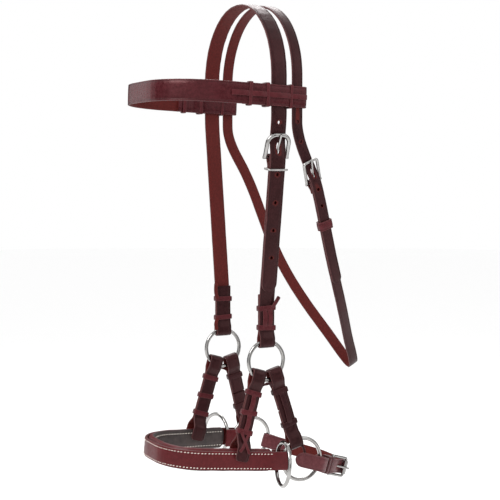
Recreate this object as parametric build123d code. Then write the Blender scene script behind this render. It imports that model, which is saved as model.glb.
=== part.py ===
from build123d import *
from math import atan2, cos, hypot, pi, radians, sin, sqrt, tan
import os

# Bitless bridle (hackamore), millimetres.
# -X is the front of the horse's head, -Y its near (left) side, +Z up.
# The origin is the underside of the crown strap at the poll, in the middle of the head.

# ---- leather ----
LEATHER = 2.6  # strap thickness
LAYER = 0.3  # air left between two layers of leather, or between leather and metal
PINCH = (LEATHER + LAYER) / 2  # from the middle of a doubled strap to one leaf's centre line
CROWN_W = 19.5
THROAT_W = 13.5
HANGER_W = 17.0
CHIN_W = 17.5
LACE_T = 1.2
LACE_W = 6.0
HOLE_R = 1.8

# ---- cheek straps ----
CROWN_X = -2.0  # middle of the cheek straps and of the cheek rings
ARCH_HALF = 88.5  # half width of the crown's arch, at its centre line
ARCH_TOP = LEATHER / 2
LEG_BREAK_Z = -135.0  # the cheek straps run straight down to here, then in towards the rings
LEG_FOOT_Z = -343.0  # below this they hang straight again
RING_Y = 58.0  # the cheek rings' planes
RING_Z = -414.0
TAB_TOP_Z = -336.0  # end of the leaf that is folded back at a cheek ring
CHEEK_HINGE_S = 44.0  # the cheek buckle's bar, measured down the leg from its break
CHEEK_BILLET = 156.0  # from that bar to the billet's tip
CHEEK_HOLES = (40.0, -18.5, -51.0, -83.0, -115.0)  # pin holes, up from that bar
CHEEK_LOOP_S = -13.0  # the wire keeper's place, up from that bar
LOOP_WIRE_R = 1.3
CHEEK_WRAPS_Z = (-375.0, -352.0)  # bands of lace above the cheek rings

# ---- throatlatch: centre line down one leg, as X, half width and Z ----
THROAT_X = 20.5
THROAT_HALF = 90.0
THROAT_BREAK_Z = -137.0
THROAT_ARCH_Z = -87.0
THROAT_LEG = [
    (THROAT_X, THROAT_HALF, THROAT_BREAK_Z),
    (40.0, 85.0, -190.0),
    (62.0, 76.0, -248.0),
    (81.0, 65.5, -302.0),
    (112.0, 41.0, -366.0),
    (137.0, 17.0, -411.0),
]
THROAT_BOTTOM = (151.0, 0.0, -436.0)
THROAT_HINGE_Z = -206.0
THROAT_TIP_Z = -318.0
THROAT_KEEPER_S = 53.0  # keeper, below the buckle's bar
THROAT_KEEPER_H = 11.0
THROAT_KEEPER_T = 1.8

# ---- rings ----
WIRE_R = 2.25
CHEEK_RING_R = 22.7  # centre line radius
JAW_RING_R = 24.8
JAW_X, JAW_Y, JAW_Z = 41.6, 65.5, -533.0
REIN_X = 8.0  # inner side of the rein ring, in the noseband's end loop
REIN_FORWARD = 11.0  # degrees the rein rings hang forward
SWING_GAP = 0.35

# ---- noseband ----
NOSE_T = 3.2
NOSE_H = 22.0
PAD_T = 9.2
PAD_H = 27.0
NOSE_FRONT_X = -122.0
NOSE_TILT = 4.8  # degrees the noseband rises towards the front
NOSE_CORNER = 50.0
NOSE_CORNER_Y = 54.0
NOSE_GAP = 0.75  # air round the two rings in each end loop
NOSE_PAD_X = 2.0  # where the padding ends and the folded leather begins

# ---- browband ----
BROW_H = 24.0
BROW_Z = -109.5
BROW_FRONT_X = -134.0
BROW_TILT = 2.3
BROW_CORNER = 66.0
BROW_END_X = 31.0  # the end's fold, behind the throatlatch
BROW_STRAIGHT_X = -22.0  # the ends' leaves are parallel behind this
BROW_CORNER_Y = 84.0
BROW_IN, BROW_OUT = 85.3, 93.2  # centre lines of the two leaves of each end
BROW_LACES = {-40.0: 6.0, -19.0: 6.0, 10.7: 3.4}  # bands of lace: place along the side, and width

# ---- jaw strap ----
CHIN_SLOPE = 18.0  # degrees it falls towards the rear
CHIN_IN = 30.0  # degrees its side runs inward from the ring
CHIN_SIDE = 70.8  # from the ring's wire back to the strap's rear corner
CHIN_HINGE_S = 34.0  # its buckle's bar, behind the near ring's wire
CHIN_KEEPERS = {"front": -20.4, "rear": -13.5}  # up the strap from that bar
CHIN_KEEPER_H = 6.4
CHIN_TIP_X = -13.5  # the billet's tip, from the jaw ring's middle

# ---- buckles ----
BAR_R = 1.7
CHEEK_BOW_R = 2.4  # the cheek buckle's heavier bow
CHEEK_BOW_SPARE = 4.0  # from the strap's edge to the middle of that bow
BOW_SPARE = 2.4  # the same in the other buckles
BAR_GAP = 26.0  # from a buckle's hinge bar to its far bar
TONGUE_R = 1.2
RUNNING = 0.06  # radial clearance of a running fit
HINGE_OUT = -1.5  # the hinge bar lies inside the strap's line, the far bar outside it
FAR_OUT = LEATHER / 2 + LAYER + BAR_R
ARCH_OUT = FAR_OUT + 1.0  # the horseshoe frame's far bar
ROLLER_R = BAR_R + 1.4
ROLLER_OUT = LEATHER / 2 + LAYER + ROLLER_R  # the far bar's place where it carries a roller
FOLD_R = BAR_R + 0.15 + LEATHER / 2  # centre line radius of the strap folded round the bar
LOWER_OUT = HINGE_OUT + FOLD_R
BILLET_OUT = LOWER_OUT + LEATHER + LAYER
TAB_OUT = LOWER_OUT - LEATHER - 2 * LAYER

# ---- hangers ----
HANGER_TOP_TURN = 32.0  # degrees round the cheek ring from its lowest point
HANGER_FRONT_FOOT_X = -41.0
HANGER_REAR_TURN = 23.5  # degrees round the jaw ring from its highest point

HANGER_WRAPS = {"front": (-18, -41, -63.5), "rear": (-18, -58)}  # laces, below the ring's wire

NEAR, FAR = -1, 1


# ------------------------------------------------------------------ shared shapes
def strap(points, radii, width, thickness=LEATHER):
    """A strap bent in the local XY plane, from the points and bend radii of its centre line."""
    line = FilletPolyline(*points, radius=radii)
    start = Plane(origin=line @ 0, x_dir=(0, 0, 1), z_dir=line % 0)
    return sweep(start * Rectangle(width, thickness), path=line)


def ribbon(points, across, widths, thickness=LEATHER):
    """A strap along a line in space: each point has its own direction across and its own width."""
    sections = []
    last = len(points) - 1
    for i, point in enumerate(points):
        ahead = (points[min(i + 1, last)] - points[min(i, last - 1)]).normalized()
        back = (points[max(i, 1)] - points[max(i - 1, 0)]).normalized()
        along = (ahead + back).normalized()
        side = (across[i] - along * across[i].dot(along)).normalized()
        plane = Plane(origin=point, x_dir=side, z_dir=along)
        sections.append(plane * Rectangle(widths[i], thickness / along.dot(ahead)))
    return loft(sections, ruled=True, clean=False)


def sleeve(width, depth, height, wall):
    """A flat band round a strap: inner depth along X, height along Y, inner width along Z."""
    outer = Box(depth + 2 * wall, height, width + 2 * wall)
    outer = fillet(outer.edges().filter_by(Axis.Y), wall * 0.8)
    return outer - Box(depth, height + 1, width)


def pinched(width):
    """Inner width and depth of a lace band round a doubled strap."""
    return width + LAYER, 2 * PINCH + LEATHER + LAYER


def lace(width, depth, wraps, strip):
    """Flat lace: bands round a doubled strap at the given heights, and a strip up its outer leaf."""
    low, high = strip
    body = Pos((depth + LACE_T) / 2, (low + high) / 2, 0) * Box(LACE_T, high - low, LACE_W)
    for height in wraps:
        body += Pos(0, height, 0) * sleeve(width, depth, LACE_W, LACE_T)
    return body


def strip_past(wraps):
    """Ends of the lengthwise strip that runs under the outermost bands of a lace."""
    return min(wraps) - LACE_W / 2, max(wraps) + LACE_W / 2


def wire_span(radius, turn, half_width):
    """How far a ring's wire falls away and rises, across a strap that lies `turn` round it."""
    heights = [
        sqrt(radius**2 - (across + radius * sin(turn)) ** 2) - radius * cos(turn)
        for across in (-half_width, -radius * sin(turn), half_width)
        if abs(across) <= half_width
    ]
    return min(heights), max(heights)


def mirrored(body):
    return mirror(body, about=Plane.XZ)


# ------------------------------------------------------------------ buckles, in a local frame:
# X outward from the strap's line, Y from the hinge bar to the far bar, Z across the strap
def buckle_frame(strap_width, corner, far_out=FAR_OUT, bow_r=BAR_R, spare=BOW_SPARE):
    half = strap_width / 2 + spare
    rise = hypot(BAR_GAP, far_out - HINGE_OUT)
    lean = atan2(far_out - HINGE_OUT, BAR_GAP)
    plane = Plane(origin=(HINGE_OUT, 0, 0), x_dir=(0, 0, 1), z_dir=(-cos(lean), sin(lean), 0))
    bow = FilletPolyline((-half, 0), (-half, rise), (half, rise), (half, 0), radius=corner)
    body = sweep(Plane(origin=bow @ 0, z_dir=bow % 0) * Circle(bow_r), path=bow)
    body += Rot(0, 90, 0) * Cylinder(BAR_R, 2 * half + 2 * bow_r)
    return plane * body


def cheek_buckle_frame():
    return buckle_frame(CROWN_W, 10.5, ARCH_OUT, CHEEK_BOW_R, CHEEK_BOW_SPARE)


def buckle_tongue(far_out=FAR_OUT, far_r=BAR_R):
    hinge = Vector(HINGE_OUT, 0, 0)
    along = Vector(far_out + 1.2 * (far_r + TONGUE_R + 0.2), BAR_GAP + 1.0, 0) - hinge
    low = (Align.CENTER, Align.CENTER, Align.MIN)
    pin = Plane(origin=hinge, z_dir=along) * Cylinder(TONGUE_R, along.length, align=low)
    hub = Pos(HINGE_OUT, 0, 0) * Cylinder(BAR_R + 1.6, 4.0)
    bore = Pos(HINGE_OUT, 0, 0) * Cylinder(BAR_R + RUNNING, 10)
    return pin + hub - bore


TONGUE_SLOT = Pos(BILLET_OUT / 2, 10.8, 0) * Box(9, 12.6, 3.6)  # through the billet
FOLD_SLOT = Pos(HINGE_OUT, 1.1, 0) * Box(2 * FOLD_R + 6, 9.6, 5.2)  # through the fold on the bar
CHAPE_TAB = [(TAB_OUT, -13), (TAB_OUT, -8.5), (HINGE_OUT - FOLD_R, -3.5), (HINGE_OUT - FOLD_R, FOLD_R)]
CHAPE_RADII = [4, 4, FOLD_R * 0.95, FOLD_R * 0.95]
BILLET_RISE = [(BILLET_OUT, 1), (0, 19)]  # the billet's climb over the fold, from the far bar


def point_cut(width):
    """What is cut from a strap's end, at the local origin, to leave a rounded point."""
    radius = width * 0.56
    block = Box(30, 2 * radius, width + 4)
    return block - Pos(0, radius, 0) * Rot(0, 90, 0) * Cylinder(radius, 40)


def hole(height):
    return Pos(0, height, 0) * Rot(0, 90, 0) * Cylinder(HOLE_R, 4 * BILLET_OUT)


# ------------------------------------------------------------------ headpiece and cheeks
near_foot_y = RING_Y + PINCH - LOWER_OUT
leg_run = hypot(ARCH_HALF - near_foot_y, LEG_BREAK_Z - LEG_FOOT_Z)
LEG_UP = Vector(0, -(ARCH_HALF - near_foot_y) / leg_run, (LEG_BREAK_Z - LEG_FOOT_Z) / leg_run)
CHEEK_STATION = Plane(
    origin=Vector(CROWN_X, -ARCH_HALF, LEG_BREAK_Z) - LEG_UP * CHEEK_HINGE_S,
    x_dir=Vector(0, -LEG_UP.Z, LEG_UP.Y),
    z_dir=(-1, 0, 0),
)
HEAD_PLANE = Plane(origin=(CROWN_X, 0, 0), x_dir=(0, 1, 0), z_dir=(1, 0, 0))


def on_leg(outward, up):
    """(Y, Z) of a point beside the near cheek buckle."""
    p = CHEEK_STATION.from_local_coords(Vector(outward, up, 0))
    return (p.Y, p.Z)


def ring_fold(side, width):
    """Points and bend radii from the outer leaf round a cheek ring's top and up the inner leaf."""
    low, _ = wire_span(CHEEK_RING_R, 0.0, width / 2)
    gap = WIRE_R + SWING_GAP + LEATHER / 2
    top = RING_Z + CHEEK_RING_R
    bottom = top + low - WIRE_R - LAYER - LEATHER / 2
    leaves = [(PINCH, top + 11), (gap, top + 4), (gap, bottom), (-gap, bottom), (-gap, top + 4)]
    leaves += [(-PINCH, top + 11), (-PINCH, TAB_TOP_Z)]
    radii = [8, 8, gap * 0.95, gap * 0.95, 8, 8]
    return [(side * (RING_Y + out), z) for out, z in leaves], radii


def crown_strap():
    fold, fold_radii = ring_fold(FAR, CROWN_W)
    billet = [on_leg(BILLET_OUT, -CHEEK_BILLET)] + [on_leg(x, y) for x, y in BILLET_RISE]
    arch = [(-ARCH_HALF, LEG_BREAK_Z), (-ARCH_HALF, ARCH_TOP), (ARCH_HALF, ARCH_TOP)]
    far_leg = [(ARCH_HALF, LEG_BREAK_Z), (RING_Y + PINCH, LEG_FOOT_Z)]
    bends = [30, 30, 100, ARCH_HALF - 2, ARCH_HALF - 2, 100, 60] + fold_radii
    body = HEAD_PLANE * strap(billet + arch + far_leg + fold, bends, CROWN_W)
    body -= CHEEK_STATION * TONGUE_SLOT
    for height in CHEEK_HOLES:
        body -= CHEEK_STATION * hole(height)
    return body - CHEEK_STATION * Pos(BILLET_OUT, -CHEEK_BILLET, 0) * point_cut(CROWN_W)


def near_cheekpiece():
    fold, fold_radii = ring_fold(NEAR, CROWN_W)
    chape = [on_leg(x, y) for x, y in CHAPE_TAB + [(LOWER_OUT, FOLD_R)]]
    foot = [(-RING_Y - PINCH, LEG_FOOT_Z)]
    bends = CHAPE_RADII + [60] + fold_radii
    return HEAD_PLANE * strap(chape + foot + fold, bends, CROWN_W) - CHEEK_STATION * FOLD_SLOT


def near_cheek_lace():
    """Lace through the doubled leaves just above the near cheek ring."""
    frame = Plane(origin=(CROWN_X, -RING_Y, 0), x_dir=(0, -1, 0), z_dir=(-1, 0, 0))
    return frame * lace(*pinched(CROWN_W), wraps=CHEEK_WRAPS_Z, strip=strip_past(CHEEK_WRAPS_Z))


def cheek_metal_loop():
    """Sliding keeper of round wire round the cheekpiece, its folded end and the billet."""
    depth = (BILLET_OUT - TAB_OUT + LEATHER) / 2 + 0.5 + LOOP_WIRE_R
    width = CROWN_W / 2 + 0.6 + LOOP_WIRE_R
    corners = [(-width, -depth), (width, -depth), (width, depth), (-width, depth)]
    line = FilletPolyline(*corners, radius=2.4, close=True)
    body = sweep(Plane(origin=line @ 0, z_dir=line % 0) * Circle(LOOP_WIRE_R), path=line)
    middle = (TAB_OUT + BILLET_OUT) / 2
    place = Plane(origin=(middle, CHEEK_LOOP_S, 0), x_dir=(0, 0, 1), z_dir=(0, 1, 0))
    return CHEEK_STATION * place * body


def cheek_ring():
    return Plane(origin=(CROWN_X, -RING_Y, RING_Z), z_dir=(0, 1, 0)) * Torus(CHEEK_RING_R, WIRE_R)


# ------------------------------------------------------------------ browband
BROW_PLANE = Plane(
    origin=(0, 0, BROW_Z),
    x_dir=(cos(radians(BROW_TILT)), 0, -sin(radians(BROW_TILT))),
    z_dir=(sin(radians(BROW_TILT)), 0, cos(radians(BROW_TILT))),
)


def brow_outer(x):
    """Half width of the browband's outer leaf."""
    share = max(0.0, (BROW_STRAIGHT_X - x) / (BROW_STRAIGHT_X - BROW_FRONT_X))
    return BROW_OUT - share * (BROW_OUT - BROW_CORNER_Y)


def browband():
    layer = LEATHER + LAYER
    leaf_end = min(BROW_LACES) - 8
    end = [
        (leaf_end, -brow_outer(leaf_end) + layer),
        (BROW_STRAIGHT_X - 3, -brow_outer(BROW_STRAIGHT_X - 3) + layer),
        (BROW_STRAIGHT_X + 7, -BROW_IN),
        (BROW_END_X, -BROW_IN),
        (BROW_END_X, -BROW_OUT),
        (BROW_STRAIGHT_X, -BROW_OUT),
        (BROW_FRONT_X, -BROW_CORNER_Y),
    ]
    fold = (BROW_OUT - BROW_IN) / 2 * 0.95
    radii = [12, 12, fold, fold, 60, BROW_CORNER]
    points = end + [(x, -y) for x, y in reversed(end)]
    return BROW_PLANE * strap(points, radii + radii[::-1], BROW_H)


def near_browband_lace():
    """A strip along the end's outer face, and bands round both of its leaves."""
    face = BROW_OUT + LEATHER / 2 + LAYER + LACE_T / 2
    slit = min(BROW_LACES) - 23
    slit_face = face - BROW_OUT + brow_outer(slit)
    route = [(BROW_END_X - 2, -face), (BROW_STRAIGHT_X, -face), (slit, -slit_face)]
    body = strap(route, [60], LACE_W, LACE_T)
    for x, band_width in BROW_LACES.items():
        outer = brow_outer(x) + LEATHER / 2 + LAYER
        inner = BROW_IN - LEATHER / 2 - LAYER
        if x < BROW_STRAIGHT_X:
            inner = outer - 2 * LEATHER - 5 * LAYER
        band = sleeve(BROW_H + 2 * LAYER, outer - inner, band_width, LACE_T)
        body += Pos(x, -(outer + inner) / 2, 0) * Rot(0, 0, 90) * band
    return BROW_PLANE * body


# ------------------------------------------------------------------ throatlatch
def throat_spline():
    near_leg = [Vector(x, -half, z) for x, half, z in THROAT_LEG]
    far_leg = [Vector(x, half, z) for x, half, z in reversed(THROAT_LEG)]
    return Spline(*near_leg, Vector(*THROAT_BOTTOM), *far_leg, tangents=[(0, 0, -1), (0, 0, 1)])


THROAT_LINE = throat_spline()
BOTTOM_LEAN = atan2(THROAT_BOTTOM[0] - THROAT_LEG[-1][0], THROAT_LEG[-1][2] - THROAT_BOTTOM[2])


def throat_frame(u, outward=0.0):
    """Point, direction across and direction along at a share u of the hanging line."""
    along = THROAT_LINE % u
    lean = BOTTOM_LEAN if abs(along.Y) > 0.75 else atan2(abs(along.X), abs(along.Z))
    across = Vector(cos(lean), 0, sin(lean))
    across = (across - along * across.dot(along)).normalized()
    return THROAT_LINE @ u + along.cross(across) * outward, across, along


def throat_share(z):
    """Share of the hanging line at which the near leg reaches a height."""
    low, high = 0.0, 0.5
    for _ in range(40):
        middle = (low + high) / 2
        low, high = (middle, high) if (THROAT_LINE @ middle).Z > z else (low, middle)
    return low


def throat_plane(u):
    point, across, along = throat_frame(u)
    return Plane(origin=point, x_dir=along.cross(across), z_dir=along.cross(across).cross(along * -1))


THROAT_HINGE_U = throat_share(THROAT_HINGE_Z)
THROAT_STATION = throat_plane(THROAT_HINGE_U)
THROAT_KEEPER_U = THROAT_HINGE_U + THROAT_KEEPER_S / THROAT_LINE.length


def throat_strap():
    station_across = THROAT_STATION.z_dir * -1
    line, across, widths = [], [], []

    def add(point, side, width=THROAT_W):
        line.append(point)
        across.append(side)
        widths.append(width)

    def add_local(x, y):
        add(THROAT_STATION.from_local_coords(Vector(x, y, 0)), station_across)

    def add_hanging(first, last, steps, outward):
        for k in range(steps + 1):
            u = first + (last - first) * k / steps
            point, side, _ = throat_frame(u, outward(u))
            add(point, side)

    below = THROAT_HINGE_U + 8 / THROAT_LINE.length
    above = THROAT_HINGE_U - 26 / THROAT_LINE.length
    tip = throat_share(THROAT_TIP_Z)

    for x, y in CHAPE_TAB[:3]:
        add_local(x, y)
    for k in range(9):
        turn = pi * k / 8
        add_local(HINGE_OUT - FOLD_R * cos(turn), FOLD_R * sin(turn))
    add_hanging(below, 1.0, 64, lambda u: LOWER_OUT * min(1, max(0, (0.85 - u) / 0.3)))
    arch_rise = ARCH_TOP - THROAT_ARCH_Z
    for k in range(29):
        turn = pi * k / 28
        height = THROAT_ARCH_Z + arch_rise * sin(turn)
        add(Vector(THROAT_X, THROAT_HALF * cos(turn), height), Vector(1, 0, 0))
    add_hanging(0.0, above, 5, lambda u: 0.0)
    for k in range(7):
        ease = (1 - cos(pi * k / 6)) / 2
        add_local(BILLET_OUT * ease, 20 - 19 * k / 6)
    add_hanging(below, tip, 14, lambda u: BILLET_OUT)
    point, side, along = throat_frame(tip, BILLET_OUT)
    add(point + along * THROAT_W * 0.7, side, THROAT_W * 0.12)
    body = ribbon(line, across, widths)
    return body - THROAT_STATION * TONGUE_SLOT - THROAT_STATION * FOLD_SLOT


def throat_keeper():
    width = THROAT_W + 1.0
    depth = BILLET_OUT - LOWER_OUT + LEATHER + 1.0
    body = sleeve(width, depth, THROAT_KEEPER_H, THROAT_KEEPER_T)
    return throat_plane(THROAT_KEEPER_U) * Pos((BILLET_OUT + LOWER_OUT) / 2, 0, 0) * body


# ------------------------------------------------------------------ noseband and its rings
NOSE_PLANE = Plane(
    origin=(0, 0, JAW_Z + JAW_X * tan(radians(NOSE_TILT))),
    x_dir=(cos(radians(NOSE_TILT)), 0, -sin(radians(NOSE_TILT))),
    z_dir=(sin(radians(NOSE_TILT)), 0, cos(radians(NOSE_TILT))),
)
ring_sag = JAW_RING_R - sqrt(JAW_RING_R**2 - (NOSE_H / 2) ** 2)
NOSE_IN = JAW_Y - WIRE_R - NOSE_GAP - NOSE_T / 2
NOSE_OUT = JAW_Y + ring_sag + WIRE_R + NOSE_GAP + NOSE_T / 2
NOSE_END_X = JAW_X - JAW_RING_R + ring_sag + WIRE_R + NOSE_GAP + NOSE_T / 2
NOSE_SLOPE = (NOSE_OUT - NOSE_CORNER_Y) / (NOSE_PAD_X - NOSE_FRONT_X)
PACK_HALF = (NOSE_T + LAYER + PAD_T) / 2  # half thickness of the leather and its padding together


def nose_half(x, inward=0.0):
    """Half width of a line parallel to the noseband's outer leaf, inside it."""
    return NOSE_OUT + (x - NOSE_PAD_X) * NOSE_SLOPE - inward * hypot(1, NOSE_SLOPE)


def noseband_leather():
    leaf_end = NOSE_PAD_X + 1.5
    end = [
        (leaf_end, -NOSE_IN),
        (NOSE_END_X, -NOSE_IN),
        (NOSE_END_X, -NOSE_OUT),
        (NOSE_PAD_X, -NOSE_OUT),
        (NOSE_FRONT_X, -NOSE_CORNER_Y),
    ]
    fold = (NOSE_OUT - NOSE_IN) / 2 * 0.95
    radii = [fold, fold, 30, NOSE_CORNER]
    points = end + [(x, -y) for x, y in reversed(end)]
    return NOSE_PLANE * strap(points, radii + radii[::-1], NOSE_H, NOSE_T)


def noseband_padding():
    inset = NOSE_T / 2 + LAYER + PAD_T / 2
    front = NOSE_FRONT_X + inset
    half = [(NOSE_PAD_X, -nose_half(NOSE_PAD_X, inset)), (front, -nose_half(front, inset))]
    points = half + [(x, -y) for x, y in reversed(half)]
    corner = NOSE_CORNER - inset
    return NOSE_PLANE * strap(points, [corner, corner], PAD_H, PAD_T)


def jaw_ring():
    return Plane(origin=(JAW_X, -JAW_Y, JAW_Z), z_dir=(0, 1, 0)) * Torus(JAW_RING_R, WIRE_R)


def rein_ring():
    hung = Pos(REIN_X, -JAW_Y, 0) * Rot(0, 0, -REIN_FORWARD) * Pos(0, -JAW_RING_R, 0)
    return NOSE_PLANE * hung * Rot(0, 90, 0) * Torus(JAW_RING_R, WIRE_R)


# ------------------------------------------------------------------ hangers
def round_ring(centre, radius, turn):
    """Point of a ring in a side plane, turn degrees round from its lowest point to the rear."""
    return centre + Vector(radius * sin(radians(turn)), 0, -radius * cos(radians(turn)))


def hanger_plane(top, foot):
    up = (top - foot).normalized()
    outward = (Vector(0, -1, 0) - up * Vector(0, -1, 0).dot(up)).normalized()
    return Plane(origin=top, x_dir=outward, z_dir=outward.cross(up))


CHEEK_CENTRE = Vector(CROWN_X, -RING_Y, RING_Z)
JAW_CENTRE = Vector(JAW_X, -JAW_Y, JAW_Z)
front_foot = NOSE_PLANE.from_local_coords(
    Vector(HANGER_FRONT_FOOT_X, -nose_half(HANGER_FRONT_FOOT_X, PACK_HALF - NOSE_T / 2), 0)
)
HANGER_ENDS = {
    "front": (round_ring(CHEEK_CENTRE, CHEEK_RING_R, -HANGER_TOP_TURN), front_foot),
    "rear": (
        round_ring(CHEEK_CENTRE, CHEEK_RING_R, HANGER_TOP_TURN),
        round_ring(JAW_CENTRE, JAW_RING_R, 180 + HANGER_REAR_TURN),
    ),
}
EYE = WIRE_R + SWING_GAP + 1.1 + LEATHER / 2  # half depth of a hanger's eye, at its centre line


def hanger_eye(radius, turn):
    """Outer half of the eye round a ring, as X and the distance past the wire's middle."""
    fall, rise = wire_span(radius, turn, HANGER_W / 2)
    past = -fall + WIRE_R + SWING_GAP + 0.8 + LEATHER / 2
    near_side = rise + WIRE_R
    return past, near_side


def hanger_lean(which):
    top, foot = HANGER_ENDS[which]
    return atan2(abs(top.X - foot.X), top.Z - foot.Z)


def near_hanger(which):
    """Strap folded over the cheek ring; the rear one also folds round the jaw ring."""
    top, foot = HANGER_ENDS[which]
    length = (top - foot).length
    past, before = hanger_eye(CHEEK_RING_R, radians(HANGER_TOP_TURN) - hanger_lean(which))
    upper = [(PINCH, -before - 9), (EYE, -before - 2), (EYE, past)]
    upper_radii = [6, 6, EYE * 0.95]
    if which == "rear":
        jaw_past, jaw_before = hanger_eye(JAW_RING_R, radians(HANGER_REAR_TURN) - hanger_lean(which))
        middle = -length / 2
        eye = [(EYE, -length - jaw_past), (EYE, -length + jaw_before + 2)]
        eye.append((PINCH, -length + jaw_before + 9))
        outer = eye + upper
        inner = [(-x, y) for x, y in reversed(outer)]
        radii = [EYE * 0.95, 6, 6] + upper_radii
        # one leaf's ends meet half way up, on the inner side
        points = [(-PINCH, middle - 0.5)] + [(-x, y) for x, y in reversed(eye)] + outer
        points += [(-x, y) for x, y in reversed(upper)] + [(-PINCH, middle + 0.5)]
        bends = [6, 6, EYE * 0.95] + radii + [EYE * 0.95, 6, 6]
    else:
        spread = PACK_HALF + HANGER_W / 2 * NOSE_SLOPE + 1.0 + LEATHER / 2
        pad_top = length - PAD_H / 2
        outer = [(spread, -length), (spread, -pad_top + 3), (PINCH, -pad_top + 12)] + upper
        points = outer + [(-x, y) for x, y in reversed(outer)]
        bends = [8, 8] + upper_radii
        bends = bends + bends[::-1]
    return hanger_plane(top, foot) * strap(points, bends, HANGER_W)


def near_hanger_lace(which):
    wraps = HANGER_WRAPS[which]
    body = lace(*pinched(HANGER_W), wraps=wraps, strip=strip_past(wraps))
    return hanger_plane(*HANGER_ENDS[which]) * body


# ------------------------------------------------------------------ jaw strap
CHIN_PLANE = Plane(
    origin=(JAW_X, 0, JAW_Z),
    x_dir=(cos(radians(CHIN_SLOPE)), 0, -sin(radians(CHIN_SLOPE))),
    z_dir=(sin(radians(CHIN_SLOPE)), 0, cos(radians(CHIN_SLOPE))),
)
turn_in = radians(CHIN_IN)
CHIN_STATION = Plane(
    origin=(JAW_RING_R + CHIN_HINGE_S * cos(turn_in), -JAW_Y + CHIN_HINGE_S * sin(turn_in), 0),
    x_dir=(sin(turn_in), -cos(turn_in), 0),
    z_dir=(0, 0, 1),
)
jaw_sag = JAW_RING_R - sqrt(JAW_RING_R**2 - (CHIN_W / 2) ** 2)
CHIN_EYE = WIRE_R + SWING_GAP + 0.4 + jaw_sag * sin(turn_in) + LEATHER / 2
CHIN_PAST = WIRE_R + SWING_GAP + 0.4 + jaw_sag * cos(turn_in) + LEATHER / 2
CHIN_OVER = CHIN_EYE + LEATHER + LAYER  # the billet's line where it passes over the near ring's fold


def by_chin(outward, back):
    """Point of the jaw strap's plane, from its near buckle's frame."""
    p = CHIN_STATION.from_local_coords(Vector(outward, back, 0))
    return (p.X, p.Y)


def chin_chape():
    """Short doubled strap from the near jaw ring to the buckle."""
    wire = -CHIN_HINGE_S
    hinge_fold = CHAPE_TAB[1:] + [(LOWER_OUT, FOLD_R)]
    ring_end = [(LOWER_OUT, wire + 9), (CHIN_EYE, wire + 4), (CHIN_EYE, wire - CHIN_PAST)]
    ring_end += [(-CHIN_EYE, wire - CHIN_PAST), (-CHIN_EYE, wire + 4), (TAB_OUT, wire + 9)]
    route = [(TAB_OUT, -13)] + hinge_fold + ring_end + [(TAB_OUT, -14)]
    bends = CHAPE_RADII + [5, 5, CHIN_PAST * 0.9, CHIN_PAST * 0.9, 5, 5]
    body = CHIN_STATION * strap(route, bends, CHIN_W) - CHIN_STATION * FOLD_SLOT
    return CHIN_PLANE * body


def chin_billet():
    """From its tip beside the near ring, through the buckle, round the jaw to the far ring."""
    wire = -CHIN_HINGE_S
    over = by_chin(CHIN_OVER, wire - 5)
    tip = [(CHIN_TIP_X, over[1]), over, by_chin(CHIN_OVER, wire + 4), by_chin(BILLET_OUT, wire + 10)]
    climb = [by_chin(x, y) for x, y in BILLET_RISE]
    near_corner = by_chin(0, CHIN_SIDE - CHIN_HINGE_S)
    eye = [(0, 13), (CHIN_EYE, 5), (CHIN_EYE, -CHIN_PAST), (-CHIN_EYE, -CHIN_PAST)]
    eye += [(-CHIN_EYE, 5), (-LEATHER - LAYER, 13), (-LEATHER - LAYER, 32)]
    far_end = [by_chin(x, y - CHIN_HINGE_S) for x, y in eye]
    far = [(near_corner[0], -near_corner[1])] + [(x, -y) for x, y in far_end]
    bends = [12, 6, 8, 30, 30, 16, 16, 6, 5, CHIN_PAST * 0.9, CHIN_PAST * 0.9, 5, 6]
    body = strap(tip + climb + [near_corner] + far, bends, CHIN_W)
    return CHIN_PLANE * (body - CHIN_STATION * TONGUE_SLOT)


def chin_keeper(back):
    low, high = TAB_OUT - LEATHER / 2 - LAYER, BILLET_OUT + LEATHER / 2 + LAYER
    body = Pos((low + high) / 2, back, 0) * sleeve(CHIN_W + 2 * LAYER, high - low, CHIN_KEEPER_H, 1.6)
    return CHIN_PLANE * CHIN_STATION * body


def chin_roller():
    tube = Cylinder(ROLLER_R, CHIN_W - 1) - Cylinder(BAR_R + RUNNING, CHIN_W)
    return CHIN_PLANE * CHIN_STATION * Pos(ROLLER_OUT, BAR_GAP, 0) * tube


# ------------------------------------------------------------------ all nodes
parts = {
    "crown_strap": crown_strap(),
    "near_cheekpiece": near_cheekpiece(),
    "cheek_buckle_frame": CHEEK_STATION * cheek_buckle_frame(),
    "cheek_buckle_tongue": CHEEK_STATION * buckle_tongue(ARCH_OUT, CHEEK_BOW_R),
    "cheek_metal_loop": cheek_metal_loop(),
    "browband": browband(),
    "throat_strap": throat_strap(),
    "throat_buckle_frame": THROAT_STATION * buckle_frame(THROAT_W, 3.0, FAR_OUT + 0.5),
    "throat_buckle_tongue": THROAT_STATION * buckle_tongue(FAR_OUT + 0.5),
    "throat_keeper": throat_keeper(),
    "noseband_leather": noseband_leather(),
    "noseband_padding": noseband_padding(),
    "chin_chape": chin_chape(),
    "chin_billet": chin_billet(),
    "chin_buckle_frame": CHIN_PLANE * CHIN_STATION * buckle_frame(CHIN_W, 3.0, ROLLER_OUT),
    "chin_buckle_tongue": CHIN_PLANE * CHIN_STATION * buckle_tongue(ROLLER_OUT, ROLLER_R),
    "chin_buckle_roller": chin_roller(),
    "chin_keeper_front": chin_keeper(CHIN_KEEPERS["front"]),
    "chin_keeper_rear": chin_keeper(CHIN_KEEPERS["rear"]),
}
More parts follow.
